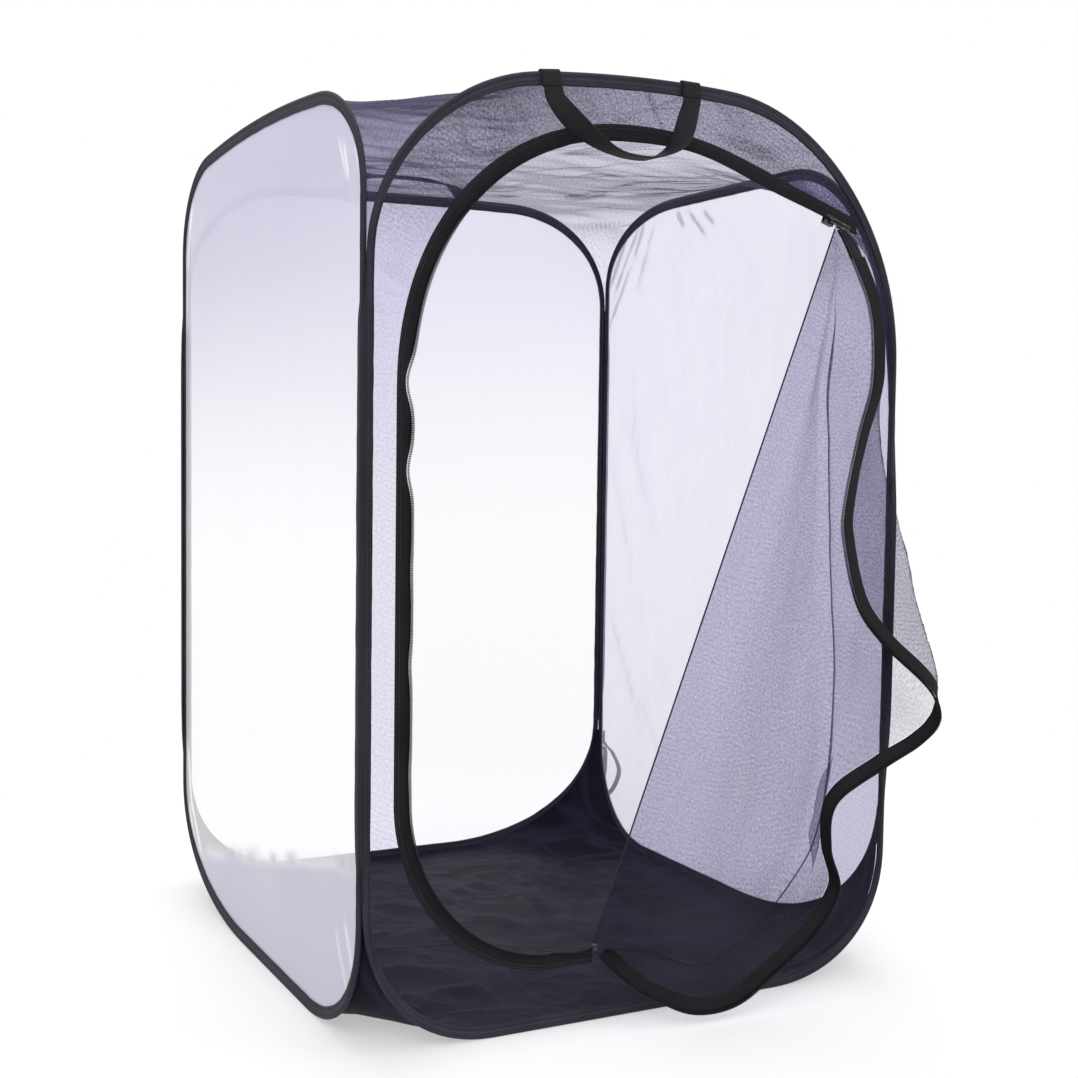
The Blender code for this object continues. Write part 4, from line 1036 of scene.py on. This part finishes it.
def hoop_inner_curve(side, top, count):
    """The line along which the roof or the floor is sewn to a hoop, on its inner face."""
    near = {end: corner for corner, pair in corners.items() for s, end in pair if s == side}
    lift = net_lift if top else -net_lift
    limits = [seam_height(near[end], top) + lift for end in (-1, 1)]
    path = hoop_outline(side, net_seat_depth, 4)
    middle = hoop_height / 2
    sign = 1 if top else -1
    turned = path[::sign]
    start = min(range(len(turned)), key=lambda k: turned[k][0] + 1e-3 * abs(turned[k][1] - middle))
    turned = turned[start:] + turned[:start]
    inside = [p for p in turned if (p[1] - limits[0 if p[0] < 0 else 1]) * sign > 0]
    edge = half_edge - net_seat_depth
    depth = half_thickness(net_seat_depth, band_width) + seat_gap + panel_thickness / 2
    course = [(-edge, limits[0])] + inside + [(edge, limits[1])]
    return resample([side_point(side, a, u, -depth) for a, u in course], count)


def spanning_edges(top, count):
    """The rim of the roof or the floor as a square grid whose inside is still empty."""
    front, left, back, right = (hoop_inner_curve(side, top, count) for side in sides)
    grid = np.zeros((count + 1, count + 1, 3))
    grid[0], grid[count] = front, back
    grid[:, 0], grid[:, count] = left, right
    grid[0, 0] = (front[0] + left[0]) / 2
    grid[0, count] = (front[-1] + right[0]) / 2
    grid[count, 0] = (back[0] + left[-1]) / 2
    grid[count, count] = (back[-1] + right[-1]) / 2
    return grid


def gore_field(grid, finer):
    """For every place of the grid near a corner, the point on the straight line between two hoops
    and how closely the cloth keeps to it."""
    last = len(grid) - 1
    lines = np.zeros_like(grid)
    holds = np.zeros(grid.shape[:2])
    shares = list(gore_hold_shares) + [0.0]
    stations = list(range(2, 2 + len(shares)))
    for row in range(2, stations[-1] * finer):
        hold = float(np.interp(row / finer, stations, shares))
        for step in range(1, row):
            share = step / row
            for i_end in (0, last):
                for j_end in (0, last):
                    i, j = abs(i_end - step), abs(j_end - (row - step))
                    on_row, on_column = grid[i_end, abs(j_end - row)], grid[abs(i_end - row), j_end]
                    lines[i, j] = on_row * (1 - share) + on_column * share
                    holds[i, j] = hold
    return lines, holds[:, :, None]


def relax(grid, rounds, top, pull, finer):
    """Lets a grid's inside settle between its edges; the floor also sinks to the ground."""
    lines, holds = gore_field(grid, finer)
    holds = holds ** (finer**2)
    for _ in range(rounds):
        mean = (grid[:-2, 1:-1] + grid[2:, 1:-1] + grid[1:-1, :-2] + grid[1:-1, 2:]) / 4
        grid[1:-1, 1:-1] = mean
        if not top:
            grid[1:-1, 1:-1, 2] = np.maximum(mean[:, :, 2] - pull, panel_thickness / 2)
        grid += (lines - grid) * holds


def make_spanning(name, top, material, node, coarse=16, finer=6):
    """The roof or the floor: stretched between the four hoops, filling the gores between them."""
    count = coarse * finer
    rough = spanning_edges(top, coarse)
    for i in range(1, coarse):
        for j in range(1, coarse):
            t, s = i / coarse, j / coarse
            ruled = rough[0, j] * (1 - t) + rough[coarse, j] * t
            rough[i, j] = (ruled + rough[i, 0] * (1 - s) + rough[i, coarse] * s) / 2
    relax(rough, 260, top, floor_slack, 1)
    grid = spanning_edges(top, count)
    places = np.arange(count + 1) / finer
    low = np.minimum(places.astype(int), coarse - 1)
    part = places - low
    along = rough[low] * (1 - part)[:, None, None] + rough[low + 1] * part[:, None, None]
    filled = along[:, low] * (1 - part)[None, :, None] + along[:, low + 1] * part[None, :, None]
    grid[1:-1, 1:-1] = filled[1:-1, 1:-1]
    relax(grid, 120, top, floor_slack / finer**2, finer)
    t, s = np.meshgrid(np.linspace(0, 1, count + 1), np.linspace(0, 1, count + 1), indexing="ij")
    rim = np.minimum(np.minimum(t, 1 - t), np.minimum(s, 1 - s))
    fade = np.minimum(rim / 0.10, 1.0)
    if top:
        grid[:, :, 2] -= roof_sag * (16 * t * (1 - t) * s * (1 - s))
    for i in range(1, count):
        for j in range(1, count):
            x, y, z = grid[i, j]
            if top:
                rise = 0.004 * smooth_noise(x * 9, y * 9, 3.3)
                rise += 0.0022 * smooth_noise(x * 14 + y * 6, y * 40, 7.0)
                rise -= 0.003 * abs(smooth_noise(x * 5 + y * 3, y * 16, 1.0))
            else:
                dent = abs(smooth_noise(x * 10, y * 10, 1.7))
                dent += 0.5 * abs(smooth_noise(x * 24, y * 24, 8.8))
                rise = max(0.010 * (0.55 - dent), panel_thickness / 2 - z)
            grid[i, j, 2] += rise * fade[i, j]
    points = [tuple(place) for row in grid for place in row]
    uvs = [point[:2] for point in points]
    made = new_mesh(name, points, grid_quads(count + 1, count + 1), materials[material], uvs)
    mark_drawn_lines(made, uvs, drawn_folds_and_glints.get(name, ()))
    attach(made, "back_side")
    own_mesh(made)
    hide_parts(node)


def make_seams():
    """The tapes over the four corners; the ends of each run out under the bindings."""
    blends = {
        "back_left": ("back", "left"),
        "back_right": ("back", "right"),
        "front_left": ("left", "front"),
    }
    step_length, taper_steps, sink_steps, turn_steps = 0.008, 7, 12, 6
    half = seam_tape_thickness / 2
    for corner, ((first, first_end), (second, second_end)) in corners.items():
        low, high = seam_height(corner, False), seam_height(corner, True)
        steps = int((high - low) / step_length)
        outs = (outward_of(first), outward_of(second))
        rings, lengths = [], []
        for k in range(steps + 1):
            up = low + (high - low) * k / steps
            puff = 0.0004 * smooth_noise(up * 45, 2.0, 0.3)
            to_end = min(k, steps - k)
            taper = min(to_end / taper_steps, 1.0)
            taper = taper * taper * (3 - 2 * taper)
            sink = seam_end_sink * max(1 - to_end / sink_steps, 0.0) ** 2
            middle = bead_radius + seat_gap + half - 0.7 * sink
            middle -= (seam_tape_thickness + 2 * seat_gap) * (1 - taper)
            reach = half_pitch - seam_tape_width * (0.25 + 0.75 * taper)
            wings = []
            for (side, end), out in zip(corners[corner], outs):
                edge = side_point(side, end * reach, up, middle + puff)
                rest = side_point(side, end * (reach + half_pitch) / 2, up, middle - puff)
                wings.append([(edge, out), (rest, out)])
            line = list(wings[0])
            for turn in range(turn_steps + 1):
                angle = math.pi / 2 * turn / turn_steps
                way = outs[0] * math.cos(angle) + outs[1] * math.sin(angle)
                out = middle - sink * math.sin(2 * angle)
                line.append((side_point(first, first_end * half_pitch, up) + way * out, way))
            line += reversed(wings[1])
            outside = [place + way * half for place, way in line]
            rings.append(outside + [place - way * half for place, way in reversed(line)])
            lengths.append(up)
        made = sweep("seam_" + corner, rings, lengths, arc_lengths(rings[0]), materials["seam"])
        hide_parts("seam_tape_" + corner)
        if corner not in blends:
            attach(made, "front_side")
            continue
        place = side_point(first, first_end * half_pitch, (low + high) / 2)
        ways = {first: Vector((-first_end, 0, 0)), second: Vector((0, -second_end, 0))}
        a, b = blends[corner]
        start, end = (tuple(place + ways[side] * blend_reach) for side in (a, b))
        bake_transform(made)


def ribbed_strip(name, path, widths, normals, width, thickness, material):
    """A flat strip with rounded edges along a dense path, with uv (length, width)."""
    edge, half_thick = thickness * 0.25, thickness / 2
    spans = width if isinstance(width, list) else [width] * len(path)
    rings = []
    for point, across, normal, span in zip(path, widths, normals, spans):
        half = span / 2
        lower = [(-half, edge - half_thick)]
        lower += [(w, -half_thick) for w in (-half + edge, -half / 2, 0.0)]
        lower += [(-w, o) for w, o in reversed(lower[:-1])]
        section = lower + [(w, -o) for w, o in reversed(lower)]
        rings.append([point + across * w + normal * o for w, o in section])
    places = [(w / section[6][0] + 1) * max(spans) / 2 for w, _ in section]
    return sweep(name, rings, arc_lengths(path), places, materials[material])


def stations(path, normals, sideways, count):
    """Evenly spaced frames along a path: its length there, the place, and the unit directions
    along, up and sideways."""
    run = arc_lengths(path)
    wants = [run[-1] * (k + 0.5) / count for k in range(count)]
    for want, (j, share) in zip(wants, spans_at(run, wants)):
        along = (path[j + 1] - path[j]).normalized()
        up = normals[j].lerp(normals[j + 1], share).normalized()
        side = sideways[j].lerp(sideways[j + 1], share).normalized()
        yield want, path[j].lerp(path[j + 1], share), along, up, side


def stitch_row(name, path, normals, sideways, lift, step, length, body):
    """A row of single stitches on a surface: small raised threads along a path."""
    count = max(int(arc_lengths(path)[-1] / step), 1)
    points, faces, uvs = [], [], []
    for middle, centre, along, up, side in stations(path, normals, sideways, count):
        faces += thread_faces(len(points))
        for end, rise in ((-1, 0.0), (0, 0.0003), (1, 0.0)):
            for wide, level in ((-0.0003, 0.0), (0.0, 0.0003), (0.0003, 0.0)):
                out = lift + level + rise - thread_seat
                points.append(centre + along * (end * length / 2) + side * wide + up * out)
                uvs.append((middle + end * length / 2, wide))
    carry(new_mesh(name, points, faces, materials["thread"], uvs), body)


def coil_teeth(name, path, widths, normals, body, node):
    """A zip's coil: a row of small rounded loops along a line of points."""
    pitch = 0.0016
    half_wide, half_high = zip_coil_width / 2, zip_coil_height / 2
    shape = ((-0.45, 0.0), (-0.2, 0.75), (0.2, 0.75), (0.45, 0.0), (0.2, -0.75), (-0.2, -0.75))
    sides_round = len(shape)
    count = int(arc_lengths(path)[-1] / pitch)
    points, faces, uvs = [], [], []
    for place, centre, along, up, side in stations(path, normals, widths, count):
        base = len(points)
        for end, size in ((-1, 0.75), (-0.35, 1.0), (0.35, 1.0), (1, 0.85)):
            middle = centre + side * (end * half_wide)
            for length, high in shape:
                point = middle + along * (length * pitch * 0.92 * size)
                points.append(point + up * (high * half_high * 1.25 * size))
                uvs.append((place, end * half_wide))
        for a, b, c, d in grid_quads(4, sides_round, closed_columns=True):
            faces.append((base + a, base + b, base + c, base + d))
        faces.append(tuple(base + m for m in reversed(range(sides_round))))
        faces.append(tuple(base + 3 * sides_round + m for m in range(sides_round)))
    made = new_mesh(name, points, faces, materials["coil"], uvs)
    carry(made, body, node)


def tape_turn(across, up):
    """How far the free edge of the fixed zip tape is turned outwards at a place, in degrees."""
    if up > 0.75 and across > -0.10:
        return 12 + 8 * math.sin(across * 40)
    if across > door_toe_across and up < 0.2:
        toe_ease = min((across - door_toe_across) / 0.05, 1.0)
        return 72 * toe_ease * min((door_foot[0] - across) / 0.02, 1.0)
    turn = 10.0
    for place, reach, most in tape_turn_places:
        turn -= most * math.exp(-(((up - place) / reach) ** 2))
    return turn


def make_panel_zip():
    """The fixed half of the zip: tape, coil and two stitch rows."""
    path = [Vector(p) for p in zip_path(4)]
    path.insert(0, path[0] + (path[0] - path[1]).normalized() * zip_tape_overrun)
    path = resample(path, 300)
    outward = outward_of("front")
    half_thick = zip_tape_thickness / 2
    lift = panel_slit + half_thick
    sideways = [Vector((n.x, 0, n.y)) for n in path_normals(path)]
    free, bend_steps, turn_steps = zip_tape_width - zip_tape_lap, 5, 3
    outer = [side_point("front", *p, lift) for p in offset_path(path, zip_tape_width)]
    rings, coil, coil_ways, coil_ups = [], [], [], []
    for spot, place, way in zip(path, outer, sideways):
        turn = math.radians(tape_turn(*spot))
        course = [(place + way * (zip_tape_lap * share), way) for share in (0.0, 0.5, 1.0)]
        for step in range(1, bend_steps + 1):
            angle = turn * min(step / turn_steps, 1.0)
            bent = way * math.cos(angle) + outward * math.sin(angle)
            course.append((course[-1][0] + bent * (free / bend_steps), bent))
        rises = [square_to(outward, run) * half_thick for _, run in course]
        front = [point + rise for (point, _), rise in zip(course, rises)]
        back = [point - rise for (point, _), rise in zip(course, rises)]
        rings.append(front + back[::-1])
        last, run = course[-1]
        rise = square_to(outward, run)
        coil_up = rise * (half_thick + zip_coil_height * 0.6)
        coil.append(last + run * (zip_coil_width * 0.1) + coil_up)
        coil_ways.append(run)
        coil_ups.append(rise)
    places = [zip_tape_lap * share for share in (0.0, 0.5, 1.0)]
    places += [zip_tape_lap + free * step / bend_steps for step in range(1, bend_steps + 1)]
    lengths = arc_lengths(outer)
    made = sweep("zip_tape_fixed", rings, lengths, places + places[::-1], materials["zip_tape"])
    carry(made, "front_side", "door_zip_tape")
    coil_teeth("zip_coil_fixed", coil, coil_ways, coil_ups, "front_side", "door_zip_coil")
    for number, share in (("1", 0.72), ("2", 0.9)):
        row = [side_point("front", *p) for p in offset_path(path, zip_tape_width * share)]
        ups, face = [outward] * len(row), lift + half_thick
        stitch_row(
            "zip_stitches_" + number, row, ups, sideways, face, 0.0032, 0.0024, "front_side"
        )


def flap_rows_of_points():
    """Rows of points of the hanging flap, from the fold line to its free edge; the net is drawn
    together at its valley, for a sharp crease."""
    hinge_out = panel_slit + flap_thickness / 2
    top = side_point("front", *door_top, hinge_out)
    foot = side_point("front", *door_foot, hinge_out)
    rows = []
    for v in range(flap_rows + 1):
        whole = flap_tip_share + (1 - 2 * flap_tip_share) * v / flap_rows
        way = min(max(whole, flap_start_share), 1 - flap_start_share)
        spread = min(min(whole, 1 - whole) / flap_start_share, 1.0) ** 0.85
        hinge = top.lerp(foot, whole)
        knots = [hinge]
        for guide in (flap_crest, flap_valley, flap_fold, flap_edge):
            knots.append(hinge + (guide_point(guide, way) - top.lerp(foot, way)) * spread)
        ends = with_ends(knots)
        row = [hinge]
        for j, steps in enumerate(flap_column_steps):
            row += [curve_point(ends[j : j + 4], k / steps) for k in range(1, steps + 1)]
        valley = row[flap_valley_column]
        for side in (-1, 1):
            away = row[flap_valley_column + side] - valley
            near = min(0.0020, away.length * 0.4)
            row[flap_valley_column + side] = valley + away.normalized() * near
            row[flap_valley_column + 2 * side] = valley + away.normalized() * (near * 4)
        rows.append(row)
    return rows


def flap_tape_ways(rows, runs):
    """The direction from the free edge across the flap's tape, for each row: it follows the net,
    faces the front near the top, and turns edge-on at the lower bend."""
    ways = []
    for k, (row, run) in enumerate(zip(rows, runs)):
        share = k / (len(rows) - 1)
        way = (row[-2] - row[-1]).normalized()
        level = run.cross(Vector((0, -1, 0))).normalized()
        if level.dot(way) < 0:
            level = -level
        facing = min(max((0.24 - share) / 0.08, 0.0), 1.0)
        edge_on = max(1 - abs(share - 0.69) / 0.075, 0.0) ** 0.5
        way = way.lerp(level, facing * 0.9).lerp(Vector((0.1, 1, 0)), edge_on * 0.85)
        ways.append(square_to(way, run))
    return ways


def net_row(row, way, span):
    """A row of the flap whose net ends at the tape's inner edge."""
    left = span + flap_seam_gap
    seam = row[-1] + way * left
    course = list(row[flap_tail_column:])
    while len(course) > 2 and (course[-1] - course[-2]).length < left:
        left -= (course[-1] - course[-2]).length
        course.pop()
    back = course[-2] - course[-1]
    course[-1] = course[-1] + back.normalized() * min(left, back.length * 0.9)
    tail = resample(course, len(row) - flap_tail_column - 1)
    shift, last = seam - tail[-1], len(tail) - 1
    return row[:flap_tail_column] + [p + shift * (k / last) ** 2 for k, p in enumerate(tail)]


def make_flap():
    """The door flap, folded out along its uncut line, with the tape and coil on its free edge."""
    rows = flap_rows_of_points()
    tips = [row[-1] for row in rows]
    runs = tangents(tips)
    ways = flap_tape_ways(rows, runs)
    spans = [min(zip_tape_width, (row[-1] - row[0]).length * 0.95) for row in rows]
    net_rows = [net_row(*each) for each in zip(rows, ways, spans)]
    last, columns = len(net_rows) - 1, len(net_rows[0])
    points, uvs = [], []
    for i, row in enumerate(net_rows):
        spots = arc_lengths(row)
        for j, point in enumerate(row):
            across = row[min(j + 1, columns - 1)] - row[max(j - 1, 0)]
            normal = across.cross(net_rows[min(i + 1, last)][j] - net_rows[max(i - 1, 0)][j])
            normal = normal.normalized() if normal.length > 1e-12 else Vector((0, -1, 0))
            fade = min(min(j, columns - 1 - j) / 5, min(i, last - i) / 12, 1.0)
            out = 0.0042 * smooth_noise(spots[j] * 20, i * 0.016, 5.5)
            out += 0.0012 * smooth_noise(spots[j] * 60, i * 0.1, 2.5)
            off_valley = abs(j - flap_valley_column)
            if off_valley < 2:
                tuck = flap_tuck * (0.5 if off_valley else 1.0)
                out -= tuck * min(max((i - 16) / 24, 0.0), 1.0)
            points.append(point + normal * (out * fade))
            uvs.append((spots[j], flap_run * i / len(net_rows)))
    faces = grid_quads(len(net_rows), columns)
    made = new_mesh("flap_net", points, faces, materials["flap_net"], uvs)
    carry(made, "door", "door_flap")
    flats = [square_to(way, run) for way, run in zip(ways, runs)]
    normals = [flat.cross(run).normalized() for flat, run in zip(flats, runs)]
    line = [tip + way * (span / 2) for tip, way, span in zip(tips, ways, spans)]
    tape = ribbed_strip("zip_tape_moving", line, flats, normals, spans, zip_tape_thickness, "zip_tape")
    carry(tape, "door", "flap_zip_tape")
    right, outward = [Vector((1, 0, 0))] * len(rows), [Vector((0, -1, 0))] * len(rows)
    hem = ribbed_strip("flap_hem", [row[0] for row in rows], right, outward, 0.0018, 0.0009, "seam")
    carry(hem, "front_side")
    rise = zip_tape_thickness / 2 + zip_coil_height * 0.6
    coil = [
        tip - flat * (zip_coil_width * 0.1) + normal * rise
        for tip, flat, normal in zip(tips, flats, normals)
    ]
    coil_teeth("zip_coil_moving", coil, flats, normals, "door", "flap_zip_coil")


def handle_end(name, side, across, node):
    """Webbing folded over the hoop's top edge and sewn down with two rows of stitches. Gives the
    place where it ends, its axis and the way down."""
    half, fold_steps, drop_steps = webbing_width / 2, 16, 6
    low, high = hoop_top(side, across - half), hoop_top(side, across + half)
    axis = (side_point(side, half, high) - side_point(side, -half, low)).normalized()
    outward = outward_of(side)
    lift = axis.cross(outward)
    if lift.z < 0:
        lift = -lift
    radius = bead_radius + handle_end_ease + webbing_thickness / 2
    centre = side_point(side, across, (low + high) / 2) - lift * bead_radius
    shape = []
    for k in range(fold_steps + 1):
        angle = math.radians(180 * (1 - k / fold_steps))
        shape.append((radius * math.cos(angle), radius * math.sin(angle)))
    for k in range(1, drop_steps + 1):
        shape.append((radius, (bead_radius - handle_end_depth) * k / drop_steps))
    path = [centre + outward * out + lift * up for out, up in shape]
    normals = [run.cross(axis).normalized() for run in tangents(path)]
    axes = [axis] * len(path)
    made = ribbed_strip(name, path, axes, normals, webbing_width, webbing_thickness, "webbing")
    body = side + "_side"
    carry(made, body, node)
    face = -webbing_thickness / 2 - 0.0002
    for number, shift in (("1", -0.36), ("2", 0.36)):
        row = [p + axis * (webbing_width * shift) for p in path[fold_steps:]]
        threads = name + "_stitches_" + number
        stitch_row(threads, row, normals[fold_steps:], axes, face, 0.0026, 0.0019, body)
    return path[-1] - lift * seat_gap, axis, -lift


def make_handle(name, side, ends, drop, reach, course, turn_shares, body):
    """A carrying handle of webbing between its two sewn ends, turned edge-on in its middle."""
    first, first_axis, first_down = handle_end(name + "_low", side, ends[0], name + "_low_end")
    second, second_axis, second_down = handle_end(name + "_high", side, ends[1], name + "_high_end")
    outward, down = outward_of(side), Vector((0, 0, -1))
    lap = outward * (webbing_thickness + seat_gap)
    knots = []
    for place, fall, out in course:
        across = (first + lap).lerp(second + lap, place)
        knots.append(across + down * (drop * fall) + outward * (reach * out))
    steps = 120
    path = smooth_curve(knots, steps)
    runs = tangents(path)
    way = 1 if drop > 0 else -1
    runs[0], runs[-1] = first_down * way, -second_down * way
    turn_start, turn_end = turn_shares
    widths, normals = [], []
    for k, run in enumerate(runs):
        share = min(k, steps - k) / steps
        turn = min(max((share - turn_start) / (turn_end - turn_start), 0.0), 1.0) * math.pi / 2
        axis = first_axis.lerp(second_axis, k / steps).normalized()
        flat = square_to(axis * math.cos(turn) + outward * math.sin(turn), run)
        widths.append(flat)
        normals.append(run.cross(flat).normalized())
    made = ribbed_strip(
        name + "_webbing", path, widths, normals, webbing_width, webbing_thickness, "webbing"
    )
    carry(made, body, name)


def make_storage_loop():
    """The elastic loop at the lower back right corner, and the pad that it is sewn to."""
    right, outward, down = Vector((1, 0, 0)), Vector((0, 1, 0)), Vector((0, 0, -1))
    pad_across = half_pitch + bead_radius + seat_gap + loop_band_thickness / 2
    pad_up = seam_height("back_right", False) - loop_seam_drop - loop_pad_length
    pad_low = side_point("back", pad_across, pad_up) - outward * (loop_band_width / 2)
    pad_path = [pad_low - down * (loop_pad_length * k / 6) for k in range(7)]
    band = (loop_band_width, loop_band_thickness, "elastic")
    pad = ribbed_strip("loop_pad", pad_path, [outward] * 7, [right] * 7, *band)
    carry(pad, "right_side", "storage_loop_pad")
    start = pad_low + right * (loop_band_thickness + seat_gap)
    knots = []
    for spread, fall in loop_course:
        sway = loop_sway_share * math.sin(math.pi * fall)
        across = loop_width / 2 * (spread + sway)
        knots.append(start + right * across + down * (loop_drop * fall))
    path = smooth_curve(knots, 110)
    runs = tangents(path)
    runs[0] = down
    normals = [run.cross(outward).normalized() for run in runs]
    made = ribbed_strip("loop_elastic", path, [outward] * len(path), normals, *band)
    carry(made, "loop", "storage_loop")


def give_material(node, material):
    """Gives one of the CAD's own solids a material."""
    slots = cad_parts[node].data.materials
    slots.clear()
    slots.append(materials[material])


for side in sides:
    make_binding(side)
make_panel("left_film", "left", "left_film", film_form, "left_window", 170, 130)
make_panel("back_film", "back", "back_film", back_form, "back_window", 40, 60)
make_panel("right_sheer", "right", "sheer", sheer_form, "right_panel", 150, 210)
make_front_panel()
make_spanning("roof_cloth", True, "roof_net", "roof_net")
make_spanning("floor_cloth", False, "nylon", "floor_sheet")
make_seams()
make_panel_zip()
make_flap()
front_ends, back_ends = (-0.120, 0.035), (-0.080, 0.080)
make_handle(
    "front_handle", "front", front_ends, 0.062, 0.013, hanging_course, (0.05, 0.42), "front_grip"
)
make_handle(
    "back_handle", "back", back_ends, -0.040, 0.012, standing_course, (0.13, 0.36), "back_grip"
)
make_storage_loop()
for name in ("zip_slider", "pull_tab", "zip_stop_top", "zip_stop_bottom"):
    give_material(name, "slider")
for side in sides:
    give_material(side + "_hoop_wire", "steel")
    give_material(side + "_hoop_ferrule", "steel")

# Camera at the photographed angle
focal, yaw, pitch, roll = 1529.706, 0.44559, 0.06219, 0.01062
camera_place = Vector((-0.80607, -1.57174, 0.57319))
frame_side, sensor = 1078, 36
main_x, main_y = 466.595, 528.256
look = Vector((math.sin(yaw) * math.cos(pitch), math.cos(yaw) * math.cos(pitch), -math.sin(pitch)))
level = Vector((math.cos(yaw), -math.sin(yaw), 0))
above = level.cross(look)
right = level * math.cos(roll) + above * math.sin(roll)
up = above * math.cos(roll) - level * math.sin(roll)
camera_data = bpy.data.cameras.new("camera")
camera_data.sensor_width = sensor
camera_data.sensor_fit = "HORIZONTAL"
camera_data.lens = sensor * focal / frame_side
camera_data.shift_x = (frame_side / 2 - main_x) / frame_side
camera_data.shift_y = (main_y - frame_side / 2) / frame_side
camera_data.clip_start = 0.05
camera_data.clip_end = 100
camera = bpy.data.objects.new("camera", camera_data)
bpy.context.scene.collection.objects.link(camera)
turned = Matrix((right, up, -look)).transposed().to_4x4()
camera.matrix_world = Matrix.Translation(camera_place) @ turned
bpy.context.scene.camera = camera

for name, place, aim_up, size, energy in (
    ("key", (-2.4, -2.6, 3.0), 0.45, (2.2, 2.2), 60),
    ("fill", (3.0, -2.2, 1.8), 0.45, (2.4, 2.4), 30),
    ("top", (0.2, 0.6, 3.6), 0.5, (2.6, 2.6), 35),
    ("rear", (0.8, 3.2, 2.2), 0.5, (2.4, 2.0), 30),
):
    lamp_data = bpy.data.lights.new(name, "AREA")
    lamp_data.shape = "RECTANGLE"
    lamp_data.size, lamp_data.size_y = size
    lamp_data.energy = energy
    lamp = bpy.data.objects.new(name, lamp_data)
    lamp.location = place
    lamp.rotation_mode = "QUATERNION"
    lamp.rotation_quaternion = (Vector((0, 0, aim_up)) - Vector(place)).to_track_quat("-Z", "Y")
    bpy.context.scene.collection.objects.link(lamp)

# A pale floor that melts into the white backdrop away from the cage
s = Shader("studio floor")
grain = s.noise(s.place(), 3.0)
s.set(Base_Color=s.colours(grain, (0.3, (0.90, 0.90, 0.90)), (0.7, (0.93, 0.93, 0.93))))
s.set(Roughness=0.8)
distance = s.node("VectorMath", {0: s.place()}, operation="LENGTH").outputs["Value"]
s.surface(s.ramp(distance, 0.35, 0.95, 0.45, 1.0), s.main, s.node("Emission", {"Strength": 1.0}))
floor_corners = [(-9, -9, 0), (9, -9, 0), (9, 9, 0), (-9, 9, 0)]
floor_uvs = [(0, 0), (1, 0), (1, 1), (0, 1)]
ground = new_mesh("studio_floor", floor_corners, [(0, 1, 2, 3)], s.material, floor_uvs, smooth=False)
ground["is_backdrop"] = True

# White where the camera, glass or metal sees the backdrop, and a little less as a light
world = bpy.data.worlds.new("studio")
world.use_nodes = True
bpy.context.scene.world = world
air = world.node_tree
rays = add_node(air, "LightPath", {}).outputs
seen = rays["Is Camera Ray"]
for kind in ("Is Transmission Ray", "Is Glossy Ray"):
    seen = add_node(air, "Math", {0: seen, 1: rays[kind]}, operation="MAXIMUM").outputs[0]
strength = add_node(air, "MapRange", {"To Min": 0.75, "To Max": 1.0, "Value": seen})
background = air.nodes["Background"].inputs
feed(background["Color"], (1, 1, 1, 1))
feed(background["Strength"], strength.outputs[0])
bpy.context.scene.view_settings.view_transform = "Standard"

size = {"cad": cad_box, "visual": [list(v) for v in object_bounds()]}
